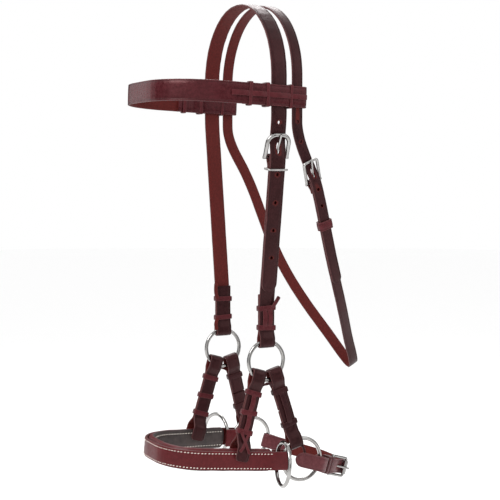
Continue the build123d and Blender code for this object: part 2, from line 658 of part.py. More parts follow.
paired = {
    "cheek_lace": near_cheek_lace(),
    "cheek_ring": cheek_ring(),
    "browband_lace": near_browband_lace(),
    "jaw_ring": jaw_ring(),
    "rein_ring": rein_ring(),
    "front_hanger": near_hanger("front"),
    "rear_hanger": near_hanger("rear"),
    "front_hanger_lace": near_hanger_lace("front"),
    "rear_hanger_lace": near_hanger_lace("rear"),
}
for name, body in paired.items():
    parts["near_" + name] = body
    parts["far_" + name] = mirrored(body)

os.makedirs("parts", exist_ok=True)
for name, body in parts.items():
    export_step(body, f"parts/{name}.step")
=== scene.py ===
from math import atan2, ceil, cos, hypot, pi, radians, sin, sqrt, tan

import bmesh
import bpy
import numpy as np
from mathutils import Matrix, Vector, noise


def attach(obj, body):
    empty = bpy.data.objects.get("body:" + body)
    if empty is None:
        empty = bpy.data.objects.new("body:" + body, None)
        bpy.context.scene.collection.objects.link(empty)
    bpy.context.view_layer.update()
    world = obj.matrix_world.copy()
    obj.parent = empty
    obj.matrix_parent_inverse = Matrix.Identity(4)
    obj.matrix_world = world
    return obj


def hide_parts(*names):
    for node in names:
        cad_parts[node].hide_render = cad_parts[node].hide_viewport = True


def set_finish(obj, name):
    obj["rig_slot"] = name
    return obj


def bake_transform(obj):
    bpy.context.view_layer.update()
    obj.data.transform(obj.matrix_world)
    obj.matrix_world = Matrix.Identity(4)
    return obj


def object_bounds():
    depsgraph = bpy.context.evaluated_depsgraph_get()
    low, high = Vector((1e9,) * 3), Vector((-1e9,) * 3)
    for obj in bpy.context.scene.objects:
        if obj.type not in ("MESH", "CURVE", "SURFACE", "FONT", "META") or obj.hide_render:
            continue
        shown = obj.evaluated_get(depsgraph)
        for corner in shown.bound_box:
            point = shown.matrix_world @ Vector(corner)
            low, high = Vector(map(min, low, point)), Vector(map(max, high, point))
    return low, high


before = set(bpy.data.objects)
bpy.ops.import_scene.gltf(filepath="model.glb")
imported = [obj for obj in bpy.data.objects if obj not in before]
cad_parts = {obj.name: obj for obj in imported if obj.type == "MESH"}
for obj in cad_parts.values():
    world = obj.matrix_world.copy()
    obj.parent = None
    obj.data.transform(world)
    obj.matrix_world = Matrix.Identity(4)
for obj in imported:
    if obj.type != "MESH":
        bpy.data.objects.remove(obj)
CAD_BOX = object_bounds()

# Bitless bridle (hackamore). Sizes are in millimetres, and meshes are made in metres.
# -X is the front of the horse's head, -Y its near (left) side, +Z up.
MM = 0.001

# ---- leather ----
LEATHER = 2.6
LAYER = 0.3
PINCH = (LEATHER + LAYER) / 2
CROWN_W = 19.5
THROAT_W = 13.5
HANGER_W = 17.0
CHIN_W = 17.5
LACE_T = 1.2
LACE_W = 6.0
CREASE = 0.24  # depth of a strap's creased line
UNEVEN = 0.12  # how far hand-cut leather strays from a straight line
LACE_OUT = LEATHER / 2 + LAYER + LACE_T / 2  # from a strap's middle to that of the lace on it
HOLE_R, HOLE_STRETCH = 1.8, 1.15

# ---- cheek straps ----
CROWN_X = -2.0
ARCH_HALF = 88.5
ARCH_TOP = LEATHER / 2
LEG_BREAK_Z = -135.0
LEG_FOOT_Z = -343.0
RING_Y = 58.0
RING_Z = -414.0
TAB_TOP_Z = -336.0
CHEEK_HINGE_S = 44.0
CHEEK_BILLET = 156.0
CHEEK_HOLES = (40.0, -18.5, -51.0, -83.0, -115.0)
CHEEK_WRAPS_Z = (-375.0, -352.0)

# ---- throatlatch ----
THROAT_X = 20.5
THROAT_HALF = 90.0
THROAT_ARCH_Z = -87.0
THROAT_LEG = [
    (THROAT_X, THROAT_HALF, -137.0),
    (40.0, 85.0, -190.0),
    (62.0, 76.0, -248.0),
    (81.0, 65.5, -302.0),
    (112.0, 41.0, -366.0),
    (137.0, 17.0, -411.0),
]
THROAT_BOTTOM = (151.0, 0.0, -436.0)
THROAT_HINGE_Z = -206.0
THROAT_TIP_Z = -318.0
THROAT_KEEPER_S = 53.0
THROAT_KEEPER_H, THROAT_KEEPER_T = 11.0, 1.8
THROAT_HOLES_Z = (-116.0, -138.0, -160.0, -214.0, -233.0)

# ---- rings ----
WIRE_R = 2.25
CHEEK_RING_R = 22.7
JAW_RING_R = 24.8
JAW_X, JAW_Y, JAW_Z = 41.6, 65.5, -533.0
SWING_GAP = 0.35

# ---- noseband ----
NOSE_T = 3.2
NOSE_H = 22.0
PAD_T = 9.2
PAD_H = 27.0
NOSE_FRONT_X = -122.0
NOSE_TILT = 4.8
NOSE_CORNER = 50.0
NOSE_CORNER_Y = 54.0
NOSE_GAP = 0.75
NOSE_PAD_X = 2.0
STITCH_PITCH = 4.0
STITCH_EDGE = 2.6  # from a stitch row to the leather's edge

# ---- browband ----
BROW_H = 24.0
BROW_Z = -109.5
BROW_FRONT_X = -134.0
BROW_TILT = 2.3
BROW_CORNER = 66.0
BROW_END_X = 31.0
BROW_STRAIGHT_X = -22.0
BROW_CORNER_Y = 84.0
BROW_IN, BROW_OUT = 85.3, 93.2
BROW_LACES = {-40.0: 6.0, -19.0: 6.0, 10.7: 3.4}
BROW_WRAP_W = 4.4

# ---- jaw strap ----
CHIN_SLOPE = 18.0
CHIN_IN = 30.0
CHIN_SIDE = 70.8
CHIN_HINGE_S = 34.0
CHIN_KEEPERS = {"front": -20.4, "rear": -13.5}
CHIN_KEEPER_H = 6.4
CHIN_KEEPER_T = 1.6
CHIN_TIP_X = -13.5

# ---- buckles ----
BAR_R = 1.7
HINGE_OUT = -1.5
FOLD_R = BAR_R + 0.15 + LEATHER / 2
LOWER_OUT = HINGE_OUT + FOLD_R
BILLET_OUT = LOWER_OUT + LEATHER + LAYER
TAB_OUT = LOWER_OUT - LEATHER - 2 * LAYER
CHAPE_TAB = [
    (TAB_OUT, -13),
    (TAB_OUT, -8.5),
    (HINGE_OUT - FOLD_R, -3.5),
    (HINGE_OUT - FOLD_R, FOLD_R),
]
CHAPE_RADII = [4, 4, FOLD_R * 0.95, FOLD_R * 0.95]
BILLET_RISE = [(BILLET_OUT, 1), (0, 19)]
SLOT_UP = 10.8  # from a buckle's hinge up to its tongue's slot in the billet
SLOT_R, SLOT_STRETCH = 2.3, 3.0
THROAT_SLOT_R, THROAT_SLOT_STRETCH = HOLE_R, 3.4
PIN_UP = 1.1  # from the hinge up to the slot that the tongue leaves its chape by
PIN_R, PIN_STRETCH = 2.6, 1.85
THROAT_PIN_R, THROAT_PIN_STRETCH = 2.3, 2.0

# ---- hangers ----
HANGER_TOP_TURN = 32.0
HANGER_FRONT_FOOT_X = -41.0
HANGER_REAR_TURN = 23.5
HANGER_WRAPS = {"front": (-18, -41, -63.5), "rear": (-18, -58)}

# ---- loose ties, on the near side ----
TIE_ROUTE = [(1.5, -443.5, 11), (4.6, -441, 6), (4.9, -440, 1.5), (4.6, -441.5, -3), (1.5, -445.5, -8)]
TIE_W, TIE_T = 3.6, 1.5
THONG_ROUTE = [
    (37.0, -67.0, -512.5),
    (40.6, -69.6, -516.5),
    (41.8, -71.8, -522.0),
    (41.6, -72.4, -528.0),
]
THONG_W, THONG_T = 3.2, 1.4

# ---- studio: azimuth, lift, distance, size and power of a light; azimuth, lift and size of a card ----
FLOOR_DROP = 0.28
LIGHTS = {"key": (-75, 42, 1.6, 0.9, 20), "fill": (35, 20, 1.9, 1.2, 6), "back": (160, 48, 1.7, 0.9, 12)}
CARDS = {
    "front": (-112, 6, 0.75, 1.5),
    "near": (24, 0, 0.85, 1.5),
    "rear": (88, 5, 0.6, 1.5),
    "far": (170, 0, 0.9, 1.5),
}
CARD_DISTANCE = 2.3

# ---- camera ----
CAMERA_AIM = (0.004, -0.005, -0.288)
CAMERA_AZIMUTH = -27.0
CAMERA_PITCH = 3.68
CAMERA_DISTANCE = 1.4
CAMERA_LENS = 84.0


# ======== materials
class Shader:
    """A procedural material, built from a few kinds of node."""

    def __init__(self, name):
        self.material = bpy.data.materials.new(name)
        self.material.use_nodes = True
        self.tree = self.material.node_tree
        self.surface = self.tree.nodes["Principled BSDF"]
        self.place = self.tree.nodes.new("ShaderNodeTexCoord").outputs["Object"]

    def feed(self, socket, value):
        if isinstance(value, bpy.types.NodeSocket):
            self.tree.links.new(value, socket)
        else:
            socket.default_value = value

    def node(self, kind, output, **inputs):
        node = self.tree.nodes.new(kind)
        for key, value in inputs.items():
            self.feed(node.inputs[key], value)
        return node.outputs[output]

    def noise(self, scale, detail=3.0, roughness=0.5, stretch=(1, 1, 1)):
        spot = self.node("ShaderNodeMapping", "Vector", Vector=self.place, Scale=stretch)
        return self.node(
            "ShaderNodeTexNoise", "Fac", Vector=spot, Scale=scale, Detail=detail, Roughness=roughness
        )

    def cells(self, scale):
        return self.node("ShaderNodeTexVoronoi", "Distance", Vector=self.place, Scale=scale)

    def attribute(self, name):
        node = self.tree.nodes.new("ShaderNodeAttribute")
        node.attribute_name = name
        return node.outputs["Fac"]

    def between(self, value, low, high, to_low=0.0, to_high=1.0):
        node = self.tree.nodes.new("ShaderNodeMapRange")
        for socket, number in zip(node.inputs, (value, low, high, to_low, to_high)):
            self.feed(socket, number)
        return node.outputs["Result"]

    def maths(self, operation, a, b):
        node = self.tree.nodes.new("ShaderNodeMath")
        node.operation = operation
        self.feed(node.inputs[0], a)
        self.feed(node.inputs[1], b)
        return node.outputs["Value"]

    def times(self, a, b):
        return self.maths("MULTIPLY", a, b)

    def mix(self, factor, a, b):
        """Mix of two colours, or of two numbers."""
        node = self.tree.nodes.new("ShaderNodeMix")
        colours = isinstance(a, tuple) or getattr(a, "type", "") == "RGBA"
        node.data_type = "RGBA" if colours else "FLOAT"
        kind = "Color" if colours else "Float"
        self.feed(node.inputs[0], factor)
        sides = [s for s in node.inputs if s.identifier in (f"A_{kind}", f"B_{kind}")]
        for socket, value in zip(sides, (a, b)):
            self.feed(socket, (*value, 1.0) if isinstance(value, tuple) else value)
        return next(s for s in node.outputs if s.identifier == f"Result_{kind}")

    def bump(self, height, strength, distance, below=None):
        inputs = {"Height": height, "Strength": strength, "Distance": distance}
        if below is not None:
            inputs["Normal"] = below
        return self.node("ShaderNodeBump", "Normal", **inputs)

    def finish(self, colour, roughness, normal, **numbers):
        self.feed(self.surface.inputs["Base Color"], colour)
        self.feed(self.surface.inputs["Roughness"], roughness)
        self.feed(self.surface.inputs["Normal"], normal)
        for key, value in numbers.items():
            self.surface.inputs[key.replace("_", " ")].default_value = value
        return self.material


def scaled(colour, share, lift=0.0):
    return tuple(min(1.0, share * c + lift) for c in colour)


def leather(name, deep, light, flesh, edge=(0.075, 0.03, 0.03), shine=0.34, pebble=950.0):
    """Bridle leather: grain side, fibrous flesh side, burnished edges and a creased line, darkened with
    painted shade.
    """
    s = Shader(name)
    patches = s.between(s.noise(14, 3), 0.36, 0.66)
    mottle = s.between(s.noise(260, 5, 0.62), 0.35, 0.68)
    grain_side, edges, groove = s.attribute("grain"), s.attribute("edge"), s.attribute("groove")
    cells = s.between(s.cells(pebble), 0.05, 0.62)
    wear = s.between(s.noise(75, 4, 0.7), 0.56, 0.74)

    tone = s.maths("ADD", s.times(patches, 0.55), s.times(mottle, 0.45))
    grain = s.mix(tone, deep, light)
    grain = s.mix(s.times(cells, 0.35), grain, scaled(deep, 0.5))
    near_edge = s.between(edges, 0.02, 0.3)
    grain = s.mix(s.times(s.times(wear, near_edge), 0.55), grain, scaled(light, 1.8, 0.004))

    fibres = s.between(s.noise(520, 6, 0.7), 0.3, 0.72)
    suede = s.mix(fibres, scaled(flesh, 0.62), scaled(flesh, 1.3))
    colour = s.mix(grain_side, suede, grain)
    colour = s.mix(s.times(s.between(edges, 0.45, 0.95), 0.85), colour, edge)
    # painted shade: the creased line is darkened towards a deep tone of the leather
    colour = s.mix(s.times(groove, 0.8), colour, scaled(deep, 0.4))

    gloss = s.between(mottle, 0.0, 1.0, shine - 0.05, shine + 0.13)
    roughness = s.mix(grain_side, 0.68, gloss)
    height = s.mix(grain_side, fibres, s.maths("SUBTRACT", 1.0, cells))
    normal = s.bump(height, 0.32, 0.00018)
    normal = s.bump(s.noise(120, 3), 0.25, 0.0005, normal)
    return s.finish(colour, roughness, normal, Specular_IOR_Level=0.3, Specular_Tint=WARM,
                    Coat_Weight=0.03, Coat_Roughness=0.22)


def padding_leather():
    """Soft lining leather, with burgundy leather rolled over its upper edge and painted shade along the
    seam between them.
    """
    s = Shader("padding_leather")
    mottle = s.between(s.noise(180, 5, 0.65), 0.3, 0.7)
    patches = s.between(s.noise(22, 3), 0.35, 0.66)
    cells = s.between(s.cells(1300), 0.05, 0.6)
    roll, groove = s.attribute("roll"), s.attribute("groove")
    lining = s.mix(mottle, (0.024, 0.018, 0.018), (0.052, 0.04, 0.038))
    lining = s.mix(s.times(patches, 0.4), lining, (0.075, 0.055, 0.05))
    burgundy = s.mix(mottle, (0.055, 0.006, 0.008), (0.1, 0.013, 0.016))
    colour = s.mix(roll, lining, burgundy)
    # painted shade: a near-black line along the seam where the rolled edge meets the lining
    colour = s.mix(s.times(groove, 0.85), colour, (0.012, 0.008, 0.008))
    roughness = s.mix(roll, s.between(mottle, 0.0, 1.0, 0.5, 0.66), 0.36)
    normal = s.bump(cells, 0.35, 0.00015)
    normal = s.bump(s.noise(95, 4), 0.35, 0.0007, normal)
    return s.finish(colour, roughness, normal, Specular_IOR_Level=0.25,
                    Coat_Weight=0.02, Coat_Roughness=0.35)


def polished_steel():
    """Stainless hardware: a clear polish with faint wear and fine scratches."""
    s = Shader("polished_steel")
    cloud = s.between(s.noise(60, 4, 0.6), 0.35, 0.7)
    scratches = s.noise(900, 2, 0.5, (1, 1, 0.06))
    colour = s.mix(cloud, (0.27, 0.262, 0.255), (0.43, 0.42, 0.41))
    roughness = s.between(s.noise(240, 5, 0.7), 0.35, 0.75, 0.08, 0.2)
    normal = s.bump(scratches, 0.05, 0.00005)
    return s.finish(colour, roughness, normal, Metallic=1.0)


def sewing_thread():
    """Waxed cream thread."""
    s = Shader("sewing_thread")
    twist = s.between(s.noise(1500, 3), 0.35, 0.65)
    colour = s.mix(twist, (0.6, 0.52, 0.45), (0.86, 0.8, 0.73))
    return s.finish(colour, s.between(twist, 0.0, 1.0, 0.5, 0.7), s.bump(twist, 0.5, 0.0002))


def floor_paint():
    """Plain matt white."""
    s = Shader("studio_floor")
    cloud = s.between(s.noise(1.2, 2), 0.3, 0.7)
    colour = s.mix(cloud, (0.965, 0.965, 0.965), (0.985, 0.985, 0.985))
    return s.finish(colour, s.between(cloud, 0.0, 1.0, 0.9, 0.98), s.bump(cloud, 0.02, 0.001))


def card_paint():
    """Plain matt black."""
    s = Shader("studio_card")
    shade = s.between(s.noise(1.5, 2), 0.3, 0.7)
    tone = s.mix(shade, (0.012, 0.012, 0.012), (0.02, 0.019, 0.019))
    return s.finish(tone, 0.9, s.bump(shade, 0.02, 0.001))


WARM = (1.0, 0.5, 0.5, 1.0)  # the tint of leather's own reflections
FLESH = (0.072, 0.0075, 0.006)
STRAP = leather("strap_leather", (0.011, 0.0028, 0.0034), (0.034, 0.0075, 0.009), FLESH)
BROW = leather("browband_leather", (0.03, 0.0048, 0.0066), (0.085, 0.0135, 0.018), FLESH, shine=0.25)
NOSE = leather("noseband_leather", (0.055, 0.0062, 0.008), (0.115, 0.014, 0.017), FLESH, pebble=820.0)
LACE = leather("lace_leather", (0.042, 0.0062, 0.0085), (0.105, 0.017, 0.022), FLESH, pebble=1400.0)
CHIN = leather("jaw_strap_leather", (0.075, 0.019, 0.023), (0.18, 0.055, 0.063), FLESH, shine=0.36)
THONG = leather("thong_leather", (0.012, 0.0038, 0.0046), (0.035, 0.009, 0.011), FLESH, pebble=1400.0)
PADDING = padding_leather()
STEEL = polished_steel()
THREAD = sewing_thread()


# ======== lines and frames, in millimetres
def place(origin, x_dir, z_dir):
    """A local frame as a matrix. Y follows from X and Z."""
    x, z = Vector(x_dir).normalized(), Vector(z_dir).normalized()
    matrix = Matrix((x, z.cross(x), z)).transposed().to_4x4()
    matrix.translation = Vector(origin)
    return matrix


def tilted(origin, degrees):
    """A frame at a place in the middle plane, with X to the rear and falling by an angle."""
    lean = radians(degrees)
    return place(origin, (cos(lean), 0, -sin(lean)), (sin(lean), 0, cos(lean)))


def shifted(x, y):
    return Matrix.Translation((x, y, 0.0))


def bent(points, radii, spacing=3.0):
    """Points along a flat line whose corners are arcs of the given radii."""
    corners = [Vector(p) for p in points]
    line = [corners[0]]
    for before, corner, after, radius in zip(corners, corners[1:], corners[2:], radii):
        into = (corner - before).normalized()
        out = (after - corner).normalized()
        turn = atan2(into.x * out.y - into.y * out.x, into.dot(out))
        start = corner - into * radius * tan(abs(turn) / 2)
        side = Vector((-into.y, into.x)) * (radius if turn > 0 else -radius)
        steps = max(3, ceil(abs(turn) / radians(9)))
        for k in range(steps + 1):
            swing = Matrix.Rotation(turn * k / steps, 2)
            line.append(start + side - swing @ side)
    line.append(corners[-1])
    full = [line[0]]
    for a, b in zip(line, line[1:]):
        steps = max(1, ceil((b - a).length / spacing))
        full += [a.lerp(b, k / steps) for k in range(1, steps + 1) if (b - a).length > 1e-4]
    return full


def heading(line, i, closed=False):
    """Direction of a line at one of its points."""
    if closed:
        return (line[(i + 1) % len(line)] - line[i - 1]).normalized()
    return (line[min(i + 1, len(line) - 1)] - line[max(i - 1, 0)]).normalized()


def flat_stations(matrix, line, width, grain=1):
    """Stations of a strap bent in a local XY plane. Each is place, grain side, across and half width.
    The grain side is on the left of the line, or on its right where grain is -1."""
    turn = matrix.to_3x3()
    stations = []
    for i, point in enumerate(line):
        along = heading(line, i)
        outward = turn @ Vector((-along.y, along.x, 0)) * grain
        spot = matrix @ Vector((point.x, point.y, 0))
        stations.append((spot, outward, turn @ Vector((0, 0, 1)), width / 2))
    return stations


def folded(matrix, points, radii, width, grain=1):
    """Stations of a strap along points whose corners are arcs."""
    return flat_stations(matrix, bent(points, radii), width, grain)


def flipped(points, sx=1, sy=-1):
    """The mirror image of a run of points, in the opposite order."""
    return [(sx * x, sy * y) for x, y in reversed(points)]


def run_of(stations):
    """A strap's length along its stations."""
    return sum((b[0] - a[0]).length for a, b in zip(stations, stations[1:]))


def end_half(distance, half, shape):
    """Half width of a strap at a distance from its end."""
    if shape == "point":
        length = half * 1.15
        share = max(0.0, min(1.0, distance / length))
        return half * max(0.06, sqrt(share * (2 - share)))
    corner = half * 0.45 if shape == "round" else 0.8
    gone = max(0.0, corner - distance)
    return half - corner + sqrt(max(0.0, corner**2 - gone**2))


def ended(stations, start, end):
    """The same stations with more of them at both ends, where the strap narrows to its end's shape."""
    places = [s[0] for s in stations]
    runs = [0.0]
    for a, b in zip(places, places[1:]):
        runs.append(runs[-1] + (b - a).length)
    total = runs[-1]
    half = stations[0][3]
    steps = [0.0, 0.15, 0.4, 0.8, 1.4, 2.2, 3.2, 4.4, 6.0, 8.0, 10.0]
    marks = {round(r, 3) for r in runs}
    marks |= {s for s in steps if s < total / 2} | {total - s for s in steps if s < total / 2}
    result = []
    for mark in sorted(marks):
        i = max(0, min(len(runs) - 2, int(np.searchsorted(runs, mark)) - 1))
        share = (mark - runs[i]) / max(1e-9, runs[i + 1] - runs[i])
        a, b = stations[i], stations[i + 1]
        point, outward, across = (a[k].lerp(b[k], share) for k in range(3))
        width = min(end_half(mark, half, start), end_half(total - mark, half, end))
        if result and (point - result[-1][0]).length < 0.08:
            continue
        result.append((point, outward.normalized(), across.normalized(), width))
    return result


# ======== meshes
def linked(name, data):
    """A new object, in the scene."""
    thing = bpy.data.objects.new(name, data)
    bpy.context.scene.collection.objects.link(thing)
    return thing


def baked(name, edit):
    """A mesh from the one being edited, which is freed."""
    mesh = bpy.data.meshes.new(name)
    edit.to_mesh(mesh)
    edit.free()
    return mesh


def fitted(piece, body, slot, node=None):
    """The piece on its body, if it rides one, in its slot and in the place of its CAD node."""
    if body:
        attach(piece, body)
    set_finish(piece, slot)
    if node:
        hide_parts(node)
    return piece


def make_piece(name, material, body, slot, verts, faces, values, node=None):
    """A piece from points in millimetres, with values per point for its material."""
    mesh = bpy.data.meshes.new(name)
    mesh.from_pydata([tuple(v * MM for v in p) for p in verts], [], faces)
    for key, numbers in values.items():
        layer = mesh.attributes.new(key, "FLOAT", "POINT")
        layer.data.foreach_set("value", np.array(numbers, np.float32))
    mesh.materials.append(material)
    mesh.shade_smooth()
    piece = linked(name, mesh)
    tidy_mesh(piece)
    return fitted(piece, body, slot, node)


def tidy_mesh(piece):
    """Normals outward, and a sharp edge only where faces meet steeply."""
    edit = bmesh.new()
    edit.from_mesh(piece.data)
    bmesh.ops.recalc_face_normals(edit, faces=edit.faces)
    edit.to_mesh(piece.data)
    edit.free()
    piece.data.set_sharp_from_angle(angle=radians(50))


def mirrored(piece, name, body, node=None):
    """The far side's copy of a near piece."""
    mesh = piece.data.copy()
    mesh.transform(Matrix.Scale(-1, 4, (0, 1, 0)))
    mesh.flip_normals()
    return fitted(linked(name, mesh), body, piece["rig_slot"], node)


def section(half, thickness, creased):
    """Outline of a strap: across, out, grain, edge and groove, round the section."""
    q = thickness / 2
    corner = min(q * 0.85, half * 0.5)
    outline = []
    for k in range(5):
        turn = pi - k * pi / 8
        a = -half + corner + corner * cos(turn)
        t = q - corner + corner * sin(turn)
        outline.append((a, t, 0.5 if k == 0 else 1.0, max(0.12, -cos(turn)), 0.0))
    if creased:
        inset = min(2.0, half * 0.5)
        wide = min(0.4, half * 0.12)
        # the last value marks the creased line, which the leather darkens as painted shade
        outline += [
            (-half + inset - wide, q, 1.0, 0.1, 0.15),
            (-half + inset, q - CREASE, 1.0, 0.0, 1.0),
            (-half + inset + wide, q, 1.0, 0.0, 0.15),
        ]
    outline += [(-half * 0.5, q + 0.1, 1.0, 0.0, 0.0), (0.0, q + 0.14, 1.0, 0.0, 0.0)]
    outline += [(-a, t, g, e, c) for a, t, g, e, c in reversed(outline[:-1])]
    flesh = [(-a, -abs(t) if abs(t) > 0.01 else t, 0.0, e, 0.0) for a, t, g, e, c in outline[1:4]]
    under = [(a, -q, 0.0, 0.0, 0.0) for a in (half * 0.5, 0.0, -half * 0.5)]
    left = [(-a, t, g, e, c) for a, t, g, e, c in reversed(flesh)]
    return outline + flesh + under + left


def ring_faces(rings, count, closed=False):
    """Faces of a swept section, with a cap on each end of an open one."""
    faces = []
    for i in range(rings if closed else rings - 1):
        here, there = i * count, (i + 1) % rings * count
        for k in range(count):
            after = (k + 1) % count
            faces.append((here + k, there + k, there + after, here + after))
    if not closed:
        faces += [tuple(range(count)), tuple(range((rings - 1) * count, rings * count))]
    return faces


def lively(stations):
    """A little unevenness, as hand-cut leather has."""
    run, last, result = 0.0, stations[0][0], []
    for point, outward, across, half in stations:
        run += (point - last).length
        last = point
        lift = noise.noise(Vector((run / 17, half, 0.3))) * UNEVEN
        sway = noise.noise(Vector((run / 26, half, 7.1))) * UNEVEN
        wide = noise.noise(Vector((run / 9, half, 3.7))) * UNEVEN * 0.7
        grown = half + wide if half > 3 * UNEVEN else half
        result.append((point + outward * lift + across * sway, outward, across, grown))
    return result


def strap(name, stations, material, body, slot="bridle_leather", node=None, thickness=LEATHER,
          ends=("square", "square"), closed=False, creased=True):
    """A leather strap along the stations."""
    if not closed:
        stations = lively(ended(stations, *ends))
    outlines = [section(half, thickness, creased) for _, _, _, half in stations]
    if not closed:
        for i in (0, -1):
            outlines[i] = [(a, t * 0.6, *rest) for a, t, *rest in outlines[i]]
    verts = [
        point + across * row[0] + outward * row[1]
        for (point, outward, across, _), outline in zip(stations, outlines)
        for row in outline
    ]
    faces = ring_faces(len(stations), len(outlines[0]), closed)
    rows = [row for outline in outlines for row in outline]
    values = {key: [row[k] for row in rows] for key, k in (("grain", 2), ("edge", 3), ("groove", 4))}
    return make_piece(name, material, body, slot, verts, faces, values, node)


def lace(name, stations, body, material=LACE, thickness=LACE_T, **more):
    """A strip or a closed band of lace."""
    return strap(name, stations, material, body, "lace_leather", thickness=thickness, creased=False, **more)


def reach(mesh):
    """The diagonal of a mesh's box."""
    spots = np.array([v.co for v in mesh.vertices])
    return float(np.linalg.norm(spots.max(axis=0) - spots.min(axis=0)))


def cut(piece, bores):
    """Cuts round or oval bores: each is a local frame with Z along the bore, radius, length and stretch."""
    whole = reach(piece.data)
    for matrix, radius, length, stretch in bores:
        shape = Matrix.Scale(MM, 4) @ matrix @ Matrix.Diagonal((radius, radius * stretch, length, 1))
        edit = bmesh.new()
        bmesh.ops.create_cone(
            edit, cap_ends=True, segments=24, radius1=1, radius2=1, depth=1, matrix=shape
        )
        cutter = linked("cutter", baked("cutter", edit))
        boolean = piece.modifiers.new("bore", "BOOLEAN")
        boolean.object = cutter
        boolean.operation = "DIFFERENCE"
        boolean.solver = "EXACT"
        graph = bpy.context.evaluated_depsgraph_get()
        result = bpy.data.meshes.new_from_object(piece.evaluated_get(graph))
        piece.modifiers.clear()
        bpy.data.objects.remove(cutter)
        if abs(reach(result) - whole) > MM / 10 or len(result.vertices) < len(piece.data.vertices) / 2:
            raise RuntimeError(f"a bore spoiled {piece.name}")
        piece.data = result
    piece.data.shade_smooth()
    piece.data.set_sharp_from_angle(angle=radians(42))


ACROSS_BORE = Matrix.Rotation(radians(90), 4, "Y")


def bore(station, outward, up, radius, length, stretch):
    """A bore through the straps at a buckle's station, or at another place on a strap."""
    return station @ shifted(outward, up) @ ACROSS_BORE, radius, length, stretch


def pin_slot(station, radius=PIN_R, stretch=PIN_STRETCH):
    """The slot in a chape's fold that a buckle's tongue comes out of."""
    return bore(station, HINGE_OUT, PIN_UP, radius, 2 * FOLD_R + 6, stretch)


def band_line(width, depth, corner):
    """Closed line round a strap, as seen along the strap: X outward, Y across."""
    a, b = depth / 2, width / 2
    line = []
    for sx, sy, first in ((1, 1, 0), (-1, 1, 90), (-1, -1, 180), (1, -1, 270)):
        centre = Vector((sx * (a - corner), sy * (b - corner)))
        for k in range(6):
            turn = radians(first + 18 * k)
            line.append(centre + Vector((cos(turn), sin(turn))) * corner)
    full = []
    for i, point in enumerate(line):
        after = line[(i + 1) % len(line)]
        steps = max(1, ceil((after - point).length / 3))
        full += [point.lerp(after, k / steps) for k in range(steps)]
    return full


def loop_stations(matrix, line, band_width, shape):
    """Stations of a closed band round a strap. The frame has X outward, Y up the strap and Z across.
    For a point of the line, shape gives how far the band bows outward and how far up it runs."""
    turn = matrix.to_3x3()
    stations = []
    for i, point in enumerate(line):
        along = heading(line, i, closed=True)
        bow, lift = shape(point)
        spot = matrix @ Vector((point.x + bow, lift, point.y))
        outward = turn @ Vector((along.y, 0, -along.x))
        stations.append((spot, outward, turn @ Vector((0, 1, 0)), band_width / 2))
    return stations


def band_stations(matrix, width, depth, band_width, height, tilt):
    """A lace's band round a doubled strap. It sits tight: its middle line is half a lace outside."""
    wall = LACE_T / 2
    line = band_line(width + 2 * wall, depth + 2 * wall, wall + 0.9)
    return loop_stations(matrix, line, band_width, lambda p: (0.0, height + tilt * p.y / width))


def hermite(a, into, b, out, t):
    """Smooth curve from a to b, with its slopes at both."""
    t2, t3 = t * t, t * t * t
    return a * (2 * t3 - 3 * t2 + 1) + into * (t3 - 2 * t2 + t) + b * (3 * t2 - 2 * t3) + out * (t3 - t2)


def smoothed(points):
    """Smooth line through points, with the slopes that each point's neighbours give."""
    marks = [Vector(p) for p in points]
    last = len(marks) - 1
    line = [marks[0]]
    for i, (a, b) in enumerate(zip(marks, marks[1:])):
        into, out = (b - marks[max(i - 1, 0)]) / 2, (marks[min(i + 2, last)] - a) / 2
        line += [hermite(a, into, b, out, k / 6) for k in range(1, 7)]
    return line


def strip_stations(matrix, points, width):
    """A narrow strip on a strap's face through points of X outward, Y up and Z across."""
    line = smoothed(points)
    turn = matrix.to_3x3()
    stations = []
    for i, point in enumerate(line):
        along = heading(line, i)
        outward = along.cross(Vector((0, 0, 1))).normalized()
        across = outward.cross(along)
        if outward.x < 0:
            outward = -outward
        stations.append((matrix @ point, turn @ outward, turn @ across, width / 2))
    return stations


def joined(name, pieces):
    """Several meshes as one piece, which keeps the first one's body, slot and replaced nodes."""
    first = pieces[0]
    edit = bmesh.new()
    for piece in pieces:
        edit.from_mesh(piece.data)
    edit.to_mesh(first.data)
    edit.free()
    for piece in pieces[1:]:
        bpy.data.objects.remove(piece)
    first.name = name
    return first


# ======== headpiece and cheeks
near_foot_y = RING_Y + PINCH - LOWER_OUT
leg_run = hypot(ARCH_HALF - near_foot_y, LEG_BREAK_Z - LEG_FOOT_Z)
LEG_UP = Vector((0, -(ARCH_HALF - near_foot_y) / leg_run, (LEG_BREAK_Z - LEG_FOOT_Z) / leg_run))
CHEEK_STATION = place(
    Vector((CROWN_X, -ARCH_HALF, LEG_BREAK_Z)) - LEG_UP * CHEEK_HINGE_S,
    (0, -LEG_UP.z, LEG_UP.y),
    (-1, 0, 0),
)
HEAD = place((CROWN_X, 0, 0), (0, 1, 0), (1, 0, 0))
CHEEK_BORE = 24.0


def on_leg(outward, up):
    p = CHEEK_STATION @ Vector((outward, up, 0))
    return (p.y, p.z)


def wire_fall(radius, turn, half_width):
    """How far a ring's wire falls away and rises, across a strap that lies round it."""
    heights = [
        sqrt(radius**2 - (across + radius * sin(turn)) ** 2) - radius * cos(turn)
        for across in (-half_width, -radius * sin(turn), half_width)
        if abs(across) <= half_width
    ]
    return min(heights), max(heights)


def ring_fold(side, width):
    low, _ = wire_fall(CHEEK_RING_R, 0.0, width / 2)
    gap = WIRE_R + SWING_GAP + LEATHER / 2
    top = RING_Z + CHEEK_RING_R
    bottom = top + low - WIRE_R - LAYER - LEATHER / 2
    leaves = [(PINCH, top + 11), (gap, top + 4), (gap, bottom), (-gap, bottom), (-gap, top + 4)]
    leaves += [(-PINCH, top + 11), (-PINCH, TAB_TOP_Z)]
    radii = [8, 8, gap * 0.95, gap * 0.95, 8, 8]
    return [(side * (RING_Y + out), z) for out, z in leaves], radii


